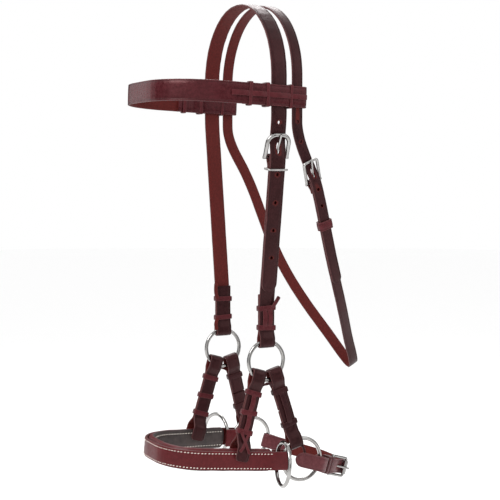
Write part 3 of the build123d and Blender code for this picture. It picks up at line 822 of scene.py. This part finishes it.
def make_crown_strap():
    fold, fold_radii = ring_fold(1, CROWN_W)
    billet = [on_leg(BILLET_OUT, -CHEEK_BILLET)] + [on_leg(x, y) for x, y in BILLET_RISE]
    arch = [(-ARCH_HALF, LEG_BREAK_Z), (-ARCH_HALF, ARCH_TOP), (ARCH_HALF, ARCH_TOP)]
    far_leg = [(ARCH_HALF, LEG_BREAK_Z), (RING_Y + PINCH, LEG_FOOT_Z)]
    bends = [30, 30, 100, ARCH_HALF - 2, ARCH_HALF - 2, 100, 60] + fold_radii
    stations = folded(HEAD, billet + arch + far_leg + fold, bends, CROWN_W)
    piece = strap("headpiece", stations, STRAP, "root", node="crown_strap", ends=("point", "square"))
    bores = [bore(CHEEK_STATION, 0, up, HOLE_R, CHEEK_BORE, HOLE_STRETCH) for up in CHEEK_HOLES]
    bores.append(bore(CHEEK_STATION, 0, SLOT_UP, SLOT_R, CHEEK_BORE, SLOT_STRETCH))
    cut(piece, bores)


def make_near_cheekpiece():
    fold, fold_radii = ring_fold(-1, CROWN_W)
    chape = [on_leg(x, y) for x, y in CHAPE_TAB + [(LOWER_OUT, FOLD_R)]]
    points = chape + [(-RING_Y - PINCH, LEG_FOOT_Z)] + fold
    stations = folded(HEAD, points, CHAPE_RADII + [60] + fold_radii, CROWN_W, grain=-1)
    piece = strap("cheekpiece", stations, STRAP, "root", node="near_cheekpiece")
    cut(piece, [pin_slot(CHEEK_STATION)])


def laced(name, matrix, width, wraps, body, node, material=LACE, cross_below=None, tails=(), strands=(0,)):
    """Lace round a doubled strap: bands, and strips that bulge between them on the outer face."""
    depth = 2 * PINCH + LEATHER + 2 * LAYER
    face = PINCH + LACE_OUT
    pieces = []

    def add_strip(label, route, share=1.0, tip="square"):
        stations = strip_stations(matrix, route, LACE_W * share)
        pieces.append(lace(f"{name}_{label}", stations, body, material, ends=("square", tip)))

    for i, height in enumerate(wraps):
        tilt = (0.9, -0.7, 0.6)[i % 3]
        stations = band_stations(matrix, width + 2 * LAYER, depth, LACE_W, height, tilt)
        pieces.append(lace(f"{name}_{i}", stations, body, material, closed=True))
    spots = sorted(wraps)
    for strand in strands:
        route = []
        for low, high in zip(spots, spots[1:]):
            middle = (low + high) / 2
            route += [(face - 0.4, low, strand), (face + 0.7, low + 5, strand + 0.2)]
            route += [(face + 0.9, middle, strand - 0.2), (face + 0.7, high - 5, strand + 0.1)]
        add_strip(f"strip_{strand}", route + [(face - 0.4, spots[-1], strand)])
    if cross_below is not None:
        for lean, lift in ((1, 0.3), (-1, 1.4)):
            route = [
                (face + lift, spots[0] - 1, -lean * width * 0.34),
                (face + 1.2 + lift, spots[0] - 6, -lean * width * 0.16),
                (FOOT_OUT - 1.2 + lift, cross_below + 6, lean * width * 0.14),
                (FOOT_OUT + lift, cross_below, lean * width * 0.36),
            ]
            add_strip(f"cross_{lift}", route, 0.62, "round")
    for route in tails:
        add_strip("tail", route, 0.8, "round")
    piece = joined(name, pieces)
    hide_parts(node)
    return piece


def make_cheek_laces():
    face = PINCH + LACE_OUT
    low, high = min(CHEEK_WRAPS_Z), max(CHEEK_WRAPS_Z)
    near_tail = [(face, high, -6), (face + 1.6, high + 5, -9), (face + 2.2, high + 13, -14)]
    far_tails = [
        [(-face, high, -9), (-face - 1.5, high + 9, -12), (-face - 2, high + 20, -12)],
        [(-face, low, -9), (-face - 1.4, low - 8, -12), (-face - 2, low - 15, -11)],
    ]
    for side, turn, tails in (("near", -1, [near_tail]), ("far", 1, far_tails)):
        matrix = place((CROWN_X, turn * RING_Y, 0), (0, turn, 0), (turn, 0, 0))
        laced(f"{side}_cheek_lacing", matrix, CROWN_W, CHEEK_WRAPS_Z, "root", f"{side}_cheek_lace",
              tails=tails, strands=(-3.3, 3.3))


# ======== browband
BROW_FRAME = tilted((0, 0, BROW_Z), BROW_TILT)


def brow_outer(x):
    share = max(0.0, (BROW_STRAIGHT_X - x) / (BROW_STRAIGHT_X - BROW_FRONT_X))
    return BROW_OUT - share * (BROW_OUT - BROW_CORNER_Y)


def make_browband():
    layer = LEATHER + LAYER
    leaf_end = min(BROW_LACES) - 8
    end = [
        (leaf_end, -brow_outer(leaf_end) + layer),
        (BROW_STRAIGHT_X - 3, -brow_outer(BROW_STRAIGHT_X - 3) + layer),
        (BROW_STRAIGHT_X + 7, -BROW_IN),
        (BROW_END_X, -BROW_IN),
        (BROW_END_X, -BROW_OUT),
        (BROW_STRAIGHT_X, -BROW_OUT),
        (BROW_FRONT_X, -BROW_CORNER_Y),
    ]
    fold = (BROW_OUT - BROW_IN) / 2 * 0.95
    radii = [12, 12, fold, fold, 60, BROW_CORNER]
    stations = folded(BROW_FRAME, end + flipped(end), radii + radii[::-1], BROW_H)
    strap("brow_band", stations, BROW, "browband", node="browband")


def make_browband_lacing():
    face = BROW_OUT + LACE_OUT
    slit = min(BROW_LACES) - 23
    side = place((0, 0, 0), (0, -1, 0), (0, 0, 1))
    pieces = []
    for i, (x, width) in enumerate(BROW_LACES.items()):
        outer = brow_outer(x) + LEATHER / 2 + LAYER
        inner = BROW_IN - LEATHER / 2 - LAYER
        if x < BROW_STRAIGHT_X:
            inner = outer - 2 * LEATHER - 5 * LAYER
        matrix = BROW_FRAME @ shifted(x, -(outer + inner) / 2) @ side
        size = (BROW_H + 2 * LAYER, outer - inner, min(width, BROW_WRAP_W))
        stations = band_stations(matrix, *size, 0, (0.8, -0.6, 0.5)[i])
        pieces.append(lace(f"brow_wrap_{i}", stations, "browband", closed=True))
    spots = sorted(BROW_LACES)
    marks = [(slit, 0.1), (slit + 6, 0.9), ((slit + spots[0]) / 2, 1.2), (spots[0] - 4, 0.8)]
    marks.append((spots[0], -0.3))
    for low, high in zip(spots, spots[1:]):
        marks += [(low + 5, 0.6), ((low + high) / 2, 1.3), (high - 5, 0.6), (high, -0.3)]
    marks += [(spots[-1] + 5, 0.7), (BROW_END_X - 7, 0.9), (BROW_END_X - 1, 0.2)]
    route = [(face - BROW_OUT + brow_outer(x) + out, x, 0) for x, out in marks]
    stations = strip_stations(BROW_FRAME @ side, route, LACE_W)
    pieces.append(lace("brow_strip", stations, "browband"))
    near = joined("near_browband_lacing", pieces)
    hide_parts("near_browband_lace")
    mirrored(near, "far_browband_lacing", "browband", "far_browband_lace")


# ======== throatlatch
def clamped_spline(points, start, end):
    """Smooth curve through points with given end directions: dense points on it, and their runs."""
    marks = np.array(points, float)
    knots = np.concatenate([[0], np.cumsum(np.linalg.norm(np.diff(marks, axis=0), axis=1))])
    count = len(marks)
    steps = np.diff(knots)
    system, right = np.zeros((count, count)), np.zeros((count, 3))
    system[0, 0] = system[-1, -1] = 1
    right[0], right[-1] = start, end
    for i in range(1, count - 1):
        a, b = steps[i - 1], steps[i]
        system[i, i - 1], system[i, i], system[i, i + 1] = b, 2 * (a + b), a
        right[i] = 3 * (b * (marks[i] - marks[i - 1]) / a + a * (marks[i + 1] - marks[i]) / b)
    slopes = np.linalg.solve(system, right)

    def at(value):
        i = max(0, min(count - 2, int(np.searchsorted(knots, value)) - 1))
        step = steps[i]
        t = (value - knots[i]) / step
        return hermite(marks[i], step * slopes[i], marks[i + 1], step * slopes[i + 1], t)

    dense = np.array([at(v) for v in np.linspace(0, knots[-1], 900)])
    runs = np.concatenate([[0], np.cumsum(np.linalg.norm(np.diff(dense, axis=0), axis=1))])
    return dense, runs


near_leg = [(x, -half, z) for x, half, z in THROAT_LEG]
far_leg = [(x, half, z) for x, half, z in reversed(THROAT_LEG)]
HANGING, HANGING_RUNS = clamped_spline(near_leg + [THROAT_BOTTOM] + far_leg, (0, 0, -1), (0, 0, 1))
HANGING_LENGTH = HANGING_RUNS[-1]
BOTTOM_LEAN = atan2(THROAT_BOTTOM[0] - THROAT_LEG[-1][0], THROAT_LEG[-1][2] - THROAT_BOTTOM[2])


def hanging_point(u):
    run = min(1.0, max(0.0, u)) * HANGING_LENGTH
    return Vector([np.interp(run, HANGING_RUNS, HANGING[:, k]) for k in range(3)])


def throat_frame(u, outward=0.0):
    along = (hanging_point(u + 0.002) - hanging_point(u - 0.002)).normalized()
    lean = BOTTOM_LEAN if abs(along.y) > 0.75 else atan2(abs(along.x), abs(along.z))
    across = Vector((cos(lean), 0, sin(lean)))
    across = (across - along * across.dot(along)).normalized()
    out = along.cross(across)
    return hanging_point(u) + out * outward, out, across, along


def throat_share(z):
    low, high = 0.0, 0.5
    for _ in range(40):
        middle = (low + high) / 2
        if hanging_point(middle).z > z:
            low = middle
        else:
            high = middle
    return low


def throat_place(u):
    point, out, _, along = throat_frame(u)
    return place(point, out, out.cross(-along))


THROAT_HINGE_U = throat_share(THROAT_HINGE_Z)
THROAT_STATION = throat_place(THROAT_HINGE_U)
THROAT_KEEPER_U = THROAT_HINGE_U + THROAT_KEEPER_S / HANGING_LENGTH


def make_throat_strap():
    places, sides = [], []

    def add(point, side):
        places.append(point)
        sides.append(side)

    def add_local(x, y):
        add(THROAT_STATION @ Vector((x, y, 0)), -(THROAT_STATION.to_3x3() @ Vector((0, 0, 1))))

    def add_hanging(first, last, steps, outward):
        for k in range(steps + 1):
            u = first + (last - first) * k / steps
            point, _, side, _ = throat_frame(u, outward(u))
            add(point, side)

    below = THROAT_HINGE_U + 8 / HANGING_LENGTH
    above = THROAT_HINGE_U - 26 / HANGING_LENGTH
    tip = throat_share(THROAT_TIP_Z) + 8 / HANGING_LENGTH
    for point in bent(CHAPE_TAB[:3] + [(HINGE_OUT - FOLD_R, 0)], CHAPE_RADII[:2]):
        add_local(point.x, point.y)
    for k in range(1, 17):
        turn = pi * k / 16
        add_local(HINGE_OUT - FOLD_R * cos(turn), FOLD_R * sin(turn))
    add_hanging(below, 1.0, 160, lambda u: LOWER_OUT * min(1, max(0, (0.85 - u) / 0.3)))
    rise = ARCH_TOP - THROAT_ARCH_Z
    for k in range(73):
        turn = pi * k / 72
        height = THROAT_ARCH_Z + rise * sin(turn)
        add(Vector((THROAT_X, THROAT_HALF * cos(turn), height)), Vector((1, 0, 0)))
    add_hanging(0.003, above, 20, lambda u: 0.0)
    for k in range(1, 13):
        ease = (1 - cos(pi * k / 12)) / 2
        add_local(BILLET_OUT * ease, 20 - 19 * k / 12)
    add_hanging(below, tip, 40, lambda u: BILLET_OUT)

    stations = []
    for i, (point, side) in enumerate(zip(places, sides)):
        along = heading(places, i)
        across = (side - along * side.dot(along)).normalized()
        stations.append((point, along.cross(across), across, THROAT_W / 2))
    piece = strap("throatlatch", stations, STRAP, "root", node="throat_strap", ends=("square", "point"))
    bores = []
    for z in THROAT_HOLES_Z:
        if z < THROAT_LEG[0][2]:
            spot = throat_place(throat_share(z))
        else:
            spot = place((THROAT_X, -THROAT_HALF, z), (0, -1, 0), (-1, 0, 0))
        bores.append(bore(spot, BILLET_OUT, 0, HOLE_R, 5.5 + LEATHER, HOLE_STRETCH))
    bores.append(bore(THROAT_STATION, BILLET_OUT, SLOT_UP, THROAT_SLOT_R, 12, THROAT_SLOT_STRETCH))
    bores.append(pin_slot(THROAT_STATION, THROAT_PIN_R, THROAT_PIN_STRETCH))
    cut(piece, bores)


def keeper(name, matrix, width, depth, height, wall, body, node):
    """A leather loop round a strap, which bows out a little. Its frame is the one of loop_stations."""
    def bowed(point):
        bow = 0.25 * cos(pi * point.y / width) if abs(point.x) > depth * 0.4 else 0
        return (bow if point.x > 0 else -bow), 0

    line = band_line(width + wall, depth + wall, wall / 2 + 1.0)
    stations = loop_stations(matrix, line, height, bowed)
    return strap(name, stations, LACE, body, node=node, thickness=wall, closed=True)


def make_throat_keeper():
    matrix = throat_place(THROAT_KEEPER_U) @ shifted((BILLET_OUT + LOWER_OUT) / 2, 0)
    depth = BILLET_OUT - LOWER_OUT + LEATHER + 0.8
    keeper("throat_loop", matrix, THROAT_W + 0.8, depth, THROAT_KEEPER_H, THROAT_KEEPER_T,
           "throat_keeper", "throat_keeper")


# ======== noseband
NOSE_FRAME = tilted((0, 0, JAW_Z + JAW_X * tan(radians(NOSE_TILT))), NOSE_TILT)
ring_sag = JAW_RING_R - sqrt(JAW_RING_R**2 - (NOSE_H / 2) ** 2)
NOSE_IN = JAW_Y - WIRE_R - NOSE_GAP - NOSE_T / 2
NOSE_OUT = JAW_Y + ring_sag + WIRE_R + NOSE_GAP + NOSE_T / 2
NOSE_END_X = JAW_X - JAW_RING_R + ring_sag + WIRE_R + NOSE_GAP + NOSE_T / 2
NOSE_SLOPE = (NOSE_OUT - NOSE_CORNER_Y) / (NOSE_PAD_X - NOSE_FRONT_X)
PACK_HALF = (NOSE_T + LAYER + PAD_T) / 2


def nose_half(x, inward=0.0):
    return NOSE_OUT + (x - NOSE_PAD_X) * NOSE_SLOPE - inward * hypot(1, NOSE_SLOPE)


def make_noseband_leather():
    leaf_end = NOSE_PAD_X + 1.5
    end = [
        (leaf_end, -NOSE_IN),
        (NOSE_END_X, -NOSE_IN),
        (NOSE_END_X, -NOSE_OUT),
        (NOSE_PAD_X, -NOSE_OUT),
        (NOSE_FRONT_X, -NOSE_CORNER_Y),
    ]
    fold = (NOSE_OUT - NOSE_IN) / 2 * 0.95
    radii = [fold, fold, 30, NOSE_CORNER]
    stations = folded(NOSE_FRAME, end + flipped(end), radii + radii[::-1], NOSE_H)
    strap("nose_band", stations, NOSE, "lower", node="noseband_leather", thickness=NOSE_T, creased=False)


def nose_line(inward, spacing):
    """Line parallel to the noseband's outer leaf, from its near rear end to its far one."""
    front = NOSE_FRONT_X + inward
    half = [(x, -nose_half(x, inward)) for x in (NOSE_PAD_X, front)]
    corner = NOSE_CORNER - inward
    return bent(half + flipped(half), [corner, corner], spacing)


def make_padding():
    """Rolled lining pad: full in the middle, pinched at its sewn channels, a little wavy at its edges."""
    inset = NOSE_T / 2 + LAYER + PAD_T / 2
    stations = flat_stations(NOSE_FRAME, nose_line(inset, spacing=1.3), PAD_H)
    count = 44
    channel = NOSE_H / 2 - STITCH_EDGE
    channel_half, channel_depth = 2.2, 1.5
    verts, roll, groove = [], [], []
    run, last, total = 0.0, stations[0][0], run_of(stations)
    for point, outward, across, half in stations:
        run += (point - last).length
        last = point
        end = min(run, total - run)
        close = sqrt(min(1.0, (end + 0.5) / 5.5)) if end < 5 else 1.0
        ripple = 0.5 * sin(2 * pi * run / STITCH_PITCH)
        wave = noise.noise(Vector((run / 13, 2.2, 0))) * 0.9
        for k in range(count):
            turn = 2 * pi * k / count
            up, out = sin(turn), cos(turn)
            side = 1 if up > 0 else -1
            high = abs(up) ** 0.62 * side * (half - 0.5)
            thick = abs(out) ** 0.75 * (1 if out > 0 else -1) * PAD_T / 2 * 0.94
            if out < 0:
                pinch = max(0.0, 1 - abs(abs(high) - channel) / channel_half)
                thick += pinch * (channel_depth + 0.25 * ripple)
            edge = max(0.0, (abs(high) - channel) / (half - channel))
            high += edge * (wave * 0.6 + ripple * 0.12) * side * 0.8
            verts.append(point + across * high * (0.35 + 0.65 * close) + outward * thick * close)
            roll.append(1.0 if up > 0.35 and out > -0.32 else 0.0)
            # groove marks the seam between the rolled edge and the lining, where painted shade darkens it
            groove.append(1.0 if up > 0.3 and -0.42 < out < -0.28 else 0.0)
    faces = ring_faces(len(stations), count)
    values = {"roll": roll, "groove": groove}
    piece = make_piece("nose_padding", PADDING, "lower", "lining_leather", verts, faces, values,
                       "noseband_padding")


def make_stitching():
    """Two rows of stitches on the noseband's outer face and two on its lining."""
    edit = bmesh.new()
    skip = 5.0
    for inward, facing, rise in ((-NOSE_T / 2 - 0.25, 1, 0.16), (NOSE_T + PAD_T - 1.9, -1, 0.3)):
        stations = flat_stations(NOSE_FRAME, nose_line(inward, spacing=0.8), 1.0)
        next_stitch, run, total = skip, 0.0, run_of(stations)
        for a, b in zip(stations, stations[1:]):
            run += (b[0] - a[0]).length
            if run < next_stitch or run > total - skip:
                continue
            next_stitch += STITCH_PITCH
            along = (b[0] - a[0]).normalized()
            for row in (-1, 1):
                lean = Matrix.Rotation(radians(12 * facing), 3, b[1])
                turn = Matrix((lean @ along, lean @ b[2], b[1])).transposed().to_4x4()
                off_edge = NOSE_H / 2 - STITCH_EDGE
                turn.translation = b[0] + b[2] * row * off_edge + b[1] * rise * facing * 0.2
                size = Matrix.Diagonal((STITCH_PITCH * 0.29, 0.5, 0.42, 1))
                matrix = Matrix.Scale(MM, 4) @ turn @ size
                bmesh.ops.create_uvsphere(edit, u_segments=8, v_segments=6, radius=1, matrix=matrix)
    mesh = baked("nose_stitching", edit)
    mesh.materials.append(THREAD)
    mesh.shade_smooth()
    fitted(linked("nose_stitching", mesh), "lower", "lining_leather")


# ======== hangers
def round_ring(centre, radius, turn):
    return centre + Vector((radius * sin(radians(turn)), 0, -radius * cos(radians(turn))))


def hanger_place(top, foot):
    up = (top - foot).normalized()
    outward = Vector((0, -1, 0))
    outward = (outward - up * outward.dot(up)).normalized()
    return place(top, outward, outward.cross(up))


CHEEK_CENTRE = Vector((CROWN_X, -RING_Y, RING_Z))
JAW_CENTRE = Vector((JAW_X, -JAW_Y, JAW_Z))
front_foot = NOSE_FRAME @ Vector(
    (HANGER_FRONT_FOOT_X, -nose_half(HANGER_FRONT_FOOT_X, PACK_HALF - NOSE_T / 2), 0)
)
HANGER_ENDS = {
    "front": (round_ring(CHEEK_CENTRE, CHEEK_RING_R, -HANGER_TOP_TURN), front_foot),
    "rear": (
        round_ring(CHEEK_CENTRE, CHEEK_RING_R, HANGER_TOP_TURN),
        round_ring(JAW_CENTRE, JAW_RING_R, 180 + HANGER_REAR_TURN),
    ),
}
EYE = WIRE_R + SWING_GAP + 1.1 + LEATHER / 2
FOOT_HALF = PACK_HALF + HANGER_W / 2 * NOSE_SLOPE + 1.0 + LEATHER / 2
FOOT_OUT = FOOT_HALF + LEATHER / 2 + LACE_T / 2


def hanger_eye(radius, turn):
    fall, rise = wire_fall(radius, turn, HANGER_W / 2)
    return -fall + WIRE_R + SWING_GAP + 0.8 + LEATHER / 2, rise + WIRE_R


def hanger_lean(which):
    top, foot = HANGER_ENDS[which]
    return atan2(abs(top.x - foot.x), top.z - foot.z)


def make_hanger(which):
    top, foot = HANGER_ENDS[which]
    length = (top - foot).length
    past, before = hanger_eye(CHEEK_RING_R, radians(HANGER_TOP_TURN) - hanger_lean(which))
    upper = [(PINCH, -before - 9), (EYE, -before - 2), (EYE, past)]
    upper_radii = [6, 6, EYE * 0.95]
    if which == "rear":
        jaw_past, jaw_before = hanger_eye(JAW_RING_R, radians(HANGER_REAR_TURN) - hanger_lean(which))
        middle = -length / 2
        eye = [(EYE, -length - jaw_past), (EYE, -length + jaw_before + 2)]
        eye.append((PINCH, -length + jaw_before + 9))
        points = [(-PINCH, middle - 0.5)] + flipped(eye, -1, 1) + eye + upper
        points += flipped(upper, -1, 1) + [(-PINCH, middle + 0.5)]
        bends = 2 * (upper_radii + upper_radii[::-1])
        tip, material, cross_below = "square", THONG, None
    else:
        pad_top = length - PAD_H / 2
        outer = [(FOOT_HALF, -length), (FOOT_HALF, -pad_top + 3), (PINCH, -pad_top + 12)] + upper
        points = outer + flipped(outer, -1, 1)
        bends = [8, 8] + upper_radii
        bends = bends + bends[::-1]
        tip, material, cross_below = "round", LACE, -pad_top - 3
    matrix = hanger_place(top, foot)
    stations = folded(matrix, points, bends, HANGER_W, grain=-1)
    near = strap(f"near_{which}_link", stations, STRAP, "lower", node=f"near_{which}_hanger",
                 ends=(tip, tip))
    mirrored(near, f"far_{which}_link", "lower", f"far_{which}_hanger")
    lacing = laced(f"near_{which}_lacing", matrix, HANGER_W, HANGER_WRAPS[which], "lower",
                   f"near_{which}_hanger_lace", material, cross_below)
    mirrored(lacing, f"far_{which}_lacing", "lower", f"far_{which}_hanger_lace")


# ======== jaw strap
CHIN_FRAME = tilted((JAW_X, 0, JAW_Z), CHIN_SLOPE)
turn_in = radians(CHIN_IN)
CHIN_STATION = place(
    (JAW_RING_R + CHIN_HINGE_S * cos(turn_in), -JAW_Y + CHIN_HINGE_S * sin(turn_in), 0),
    (sin(turn_in), -cos(turn_in), 0),
    (0, 0, 1),
)
jaw_sag = JAW_RING_R - sqrt(JAW_RING_R**2 - (CHIN_W / 2) ** 2)
CHIN_EYE = WIRE_R + SWING_GAP + 0.4 + jaw_sag * sin(turn_in) + LEATHER / 2
CHIN_PAST = WIRE_R + SWING_GAP + 0.4 + jaw_sag * cos(turn_in) + LEATHER / 2
CHIN_OVER = CHIN_EYE + LEATHER + LAYER
CHIN_BUCKLE = CHIN_FRAME @ CHIN_STATION
CHIN_BORE = 10.0


def by_chin(outward, back):
    p = CHIN_STATION @ Vector((outward, back, 0))
    return (p.x, p.y)


def make_chin_chape():
    wire = -CHIN_HINGE_S
    hinge_fold = CHAPE_TAB[1:] + [(LOWER_OUT, FOLD_R)]
    ring_end = [(LOWER_OUT, wire + 9), (CHIN_EYE, wire + 4), (CHIN_EYE, wire - CHIN_PAST)]
    ring_end += [(-CHIN_EYE, wire - CHIN_PAST), (-CHIN_EYE, wire + 4), (TAB_OUT, wire + 9)]
    route = [(TAB_OUT, -13)] + hinge_fold + ring_end + [(TAB_OUT, -14)]
    bends = CHAPE_RADII + [5, 5, CHIN_PAST * 0.9, CHIN_PAST * 0.9, 5, 5]
    stations = folded(CHIN_BUCKLE, route, bends, CHIN_W, grain=-1)
    piece = strap("jaw_chape", stations, CHIN, "chin", node="chin_chape")
    cut(piece, [pin_slot(CHIN_BUCKLE)])


def make_chin_billet():
    wire = -CHIN_HINGE_S
    over = by_chin(CHIN_OVER, wire - 5)
    tip = [(CHIN_TIP_X, over[1]), over, by_chin(CHIN_OVER, wire + 4), by_chin(BILLET_OUT, wire + 10)]
    climb = [by_chin(x, y) for x, y in BILLET_RISE]
    near_corner = by_chin(0, CHIN_SIDE - CHIN_HINGE_S)
    eye = [(0, 13), (CHIN_EYE, 5), (CHIN_EYE, -CHIN_PAST), (-CHIN_EYE, -CHIN_PAST)]
    eye += [(-CHIN_EYE, 5), (-LEATHER - LAYER, 13), (-LEATHER - LAYER, 32)]
    far_end = [by_chin(x, y - CHIN_HINGE_S) for x, y in eye]
    far = [(near_corner[0], -near_corner[1])] + [(x, -y) for x, y in far_end]
    bends = [12, 6, 8, 30, 30, 16, 16, 6, 5, CHIN_PAST * 0.9, CHIN_PAST * 0.9, 5, 6]
    stations = folded(CHIN_FRAME, tip + climb + [near_corner] + far, bends, CHIN_W, grain=-1)
    piece = strap("jaw_billet", stations, CHIN, "chin", node="chin_billet", ends=("point", "square"))
    cut(piece, [bore(CHIN_BUCKLE, BILLET_OUT / 2, SLOT_UP, SLOT_R, CHIN_BORE, SLOT_STRETCH)])


def make_chin_keepers():
    low, high = TAB_OUT - LEATHER / 2 - LAYER, BILLET_OUT + LEATHER / 2 + LAYER
    for where, back in CHIN_KEEPERS.items():
        matrix = CHIN_BUCKLE @ shifted((low + high) / 2, back)
        keeper(f"jaw_loop_{where}", matrix, CHIN_W + 2 * LAYER, high - low, CHIN_KEEPER_H,
               CHIN_KEEPER_T, "chin", f"chin_keeper_{where}")


# ======== loose ties
def make_ties():
    """A strand that ties each pair of hangers together, and one from each rear hanger to the jaw strap."""
    away = place((0, -RING_Y, 0), (0, -1, 0), (-1, 0, 0))
    stations = strip_stations(away, TIE_ROUTE, TIE_W)
    tie = lace("near_hanger_tie", stations, "lower", THONG, TIE_T)
    mirrored(tie, "far_hanger_tie", "lower")

    line = smoothed(THONG_ROUTE)
    stations = []
    for i, point in enumerate(line):
        along = heading(line, i)
        outward = (Vector((0, -1, 0)) - along * -along.y).normalized()
        stations.append((point, outward, outward.cross(along), THONG_W / 2))
    near = lace("near_jaw_thong", stations, None, THONG, THONG_T)
    far = mirrored(near, "far_jaw_thong", None)
    for piece, side in ((near, 1), (far, -1)):
        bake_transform(piece)


# ======== hardware
def finish_hardware():
    """Steel on the CAD's own rings, buckles and wire keeper."""
    for name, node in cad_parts.items():
        if "ring" in name or "buckle" in name or "metal_loop" in name:
            node.data.materials.clear()
            node.data.materials.append(STEEL)


# ======== studio
def from_aim(azimuth, lift, distance):
    """A place round the bridle and the turn that faces it."""
    a, e = radians(azimuth), radians(lift)
    back = Vector((sin(a) * cos(e), -cos(a) * cos(e), sin(e)))
    return Vector(CAMERA_AIM) + back * distance, back.to_track_quat("Z", "Y").to_euler()


def stage_plane(name, material, sides, size):
    """A flat sheet of the studio."""
    edit = bmesh.new()
    bmesh.ops.create_circle(edit, cap_ends=True, segments=sides, radius=1)
    mesh = baked(name, edit)
    mesh.materials.append(material)
    sheet = linked(name, mesh)
    sheet.scale = (*size, 1)
    return sheet


def make_studio():
    low, _ = CAD_BOX
    floor = stage_plane("floor", floor_paint(), 96, (9.0, 9.0))
    floor.location = (0, 0, low[2] - FLOOR_DROP)

    world = bpy.data.worlds.new("studio")
    bpy.context.scene.world = world
    world.use_nodes = True
    background = world.node_tree.nodes["Background"]
    background.inputs["Color"].default_value = (1.0, 1.0, 1.0, 1.0)
    background.inputs["Strength"].default_value = 1.0

    for name, (azimuth, lift, distance, size, power) in LIGHTS.items():
        data = bpy.data.lights.new(name, "AREA")
        data.energy, data.size = power, size
        light = linked(name, data)
        light.location, light.rotation_euler = from_aim(azimuth, lift, distance)

    # only reflections see the cards, so that steel and shiny leather get dark edges
    black = card_paint()
    for name, (azimuth, lift, width, height) in CARDS.items():
        card = stage_plane(f"card_{name}", black, 48, (width, height))
        card.location, card.rotation_euler = from_aim(azimuth, lift, CARD_DISTANCE)
        card.visible_camera = False
        card.visible_diffuse = False
        card.visible_shadow = False
        card.visible_transmission = False


def make_camera():
    data = bpy.data.cameras.new("camera")
    data.lens = CAMERA_LENS
    data.sensor_width = 36.0
    camera = linked("camera", data)
    camera.location, camera.rotation_euler = from_aim(CAMERA_AZIMUTH, CAMERA_PITCH, CAMERA_DISTANCE)
    bpy.context.scene.camera = camera
    bpy.context.scene.view_settings.view_transform = "Standard"


make_camera()
make_studio()
make_crown_strap()
make_near_cheekpiece()
make_cheek_laces()
make_browband()
make_browband_lacing()
make_throat_strap()
make_throat_keeper()
make_noseband_leather()
make_padding()
make_stitching()
for which in HANGER_ENDS:
    make_hanger(which)
make_chin_chape()
make_chin_billet()
make_chin_keepers()
make_ties()
finish_hardware()
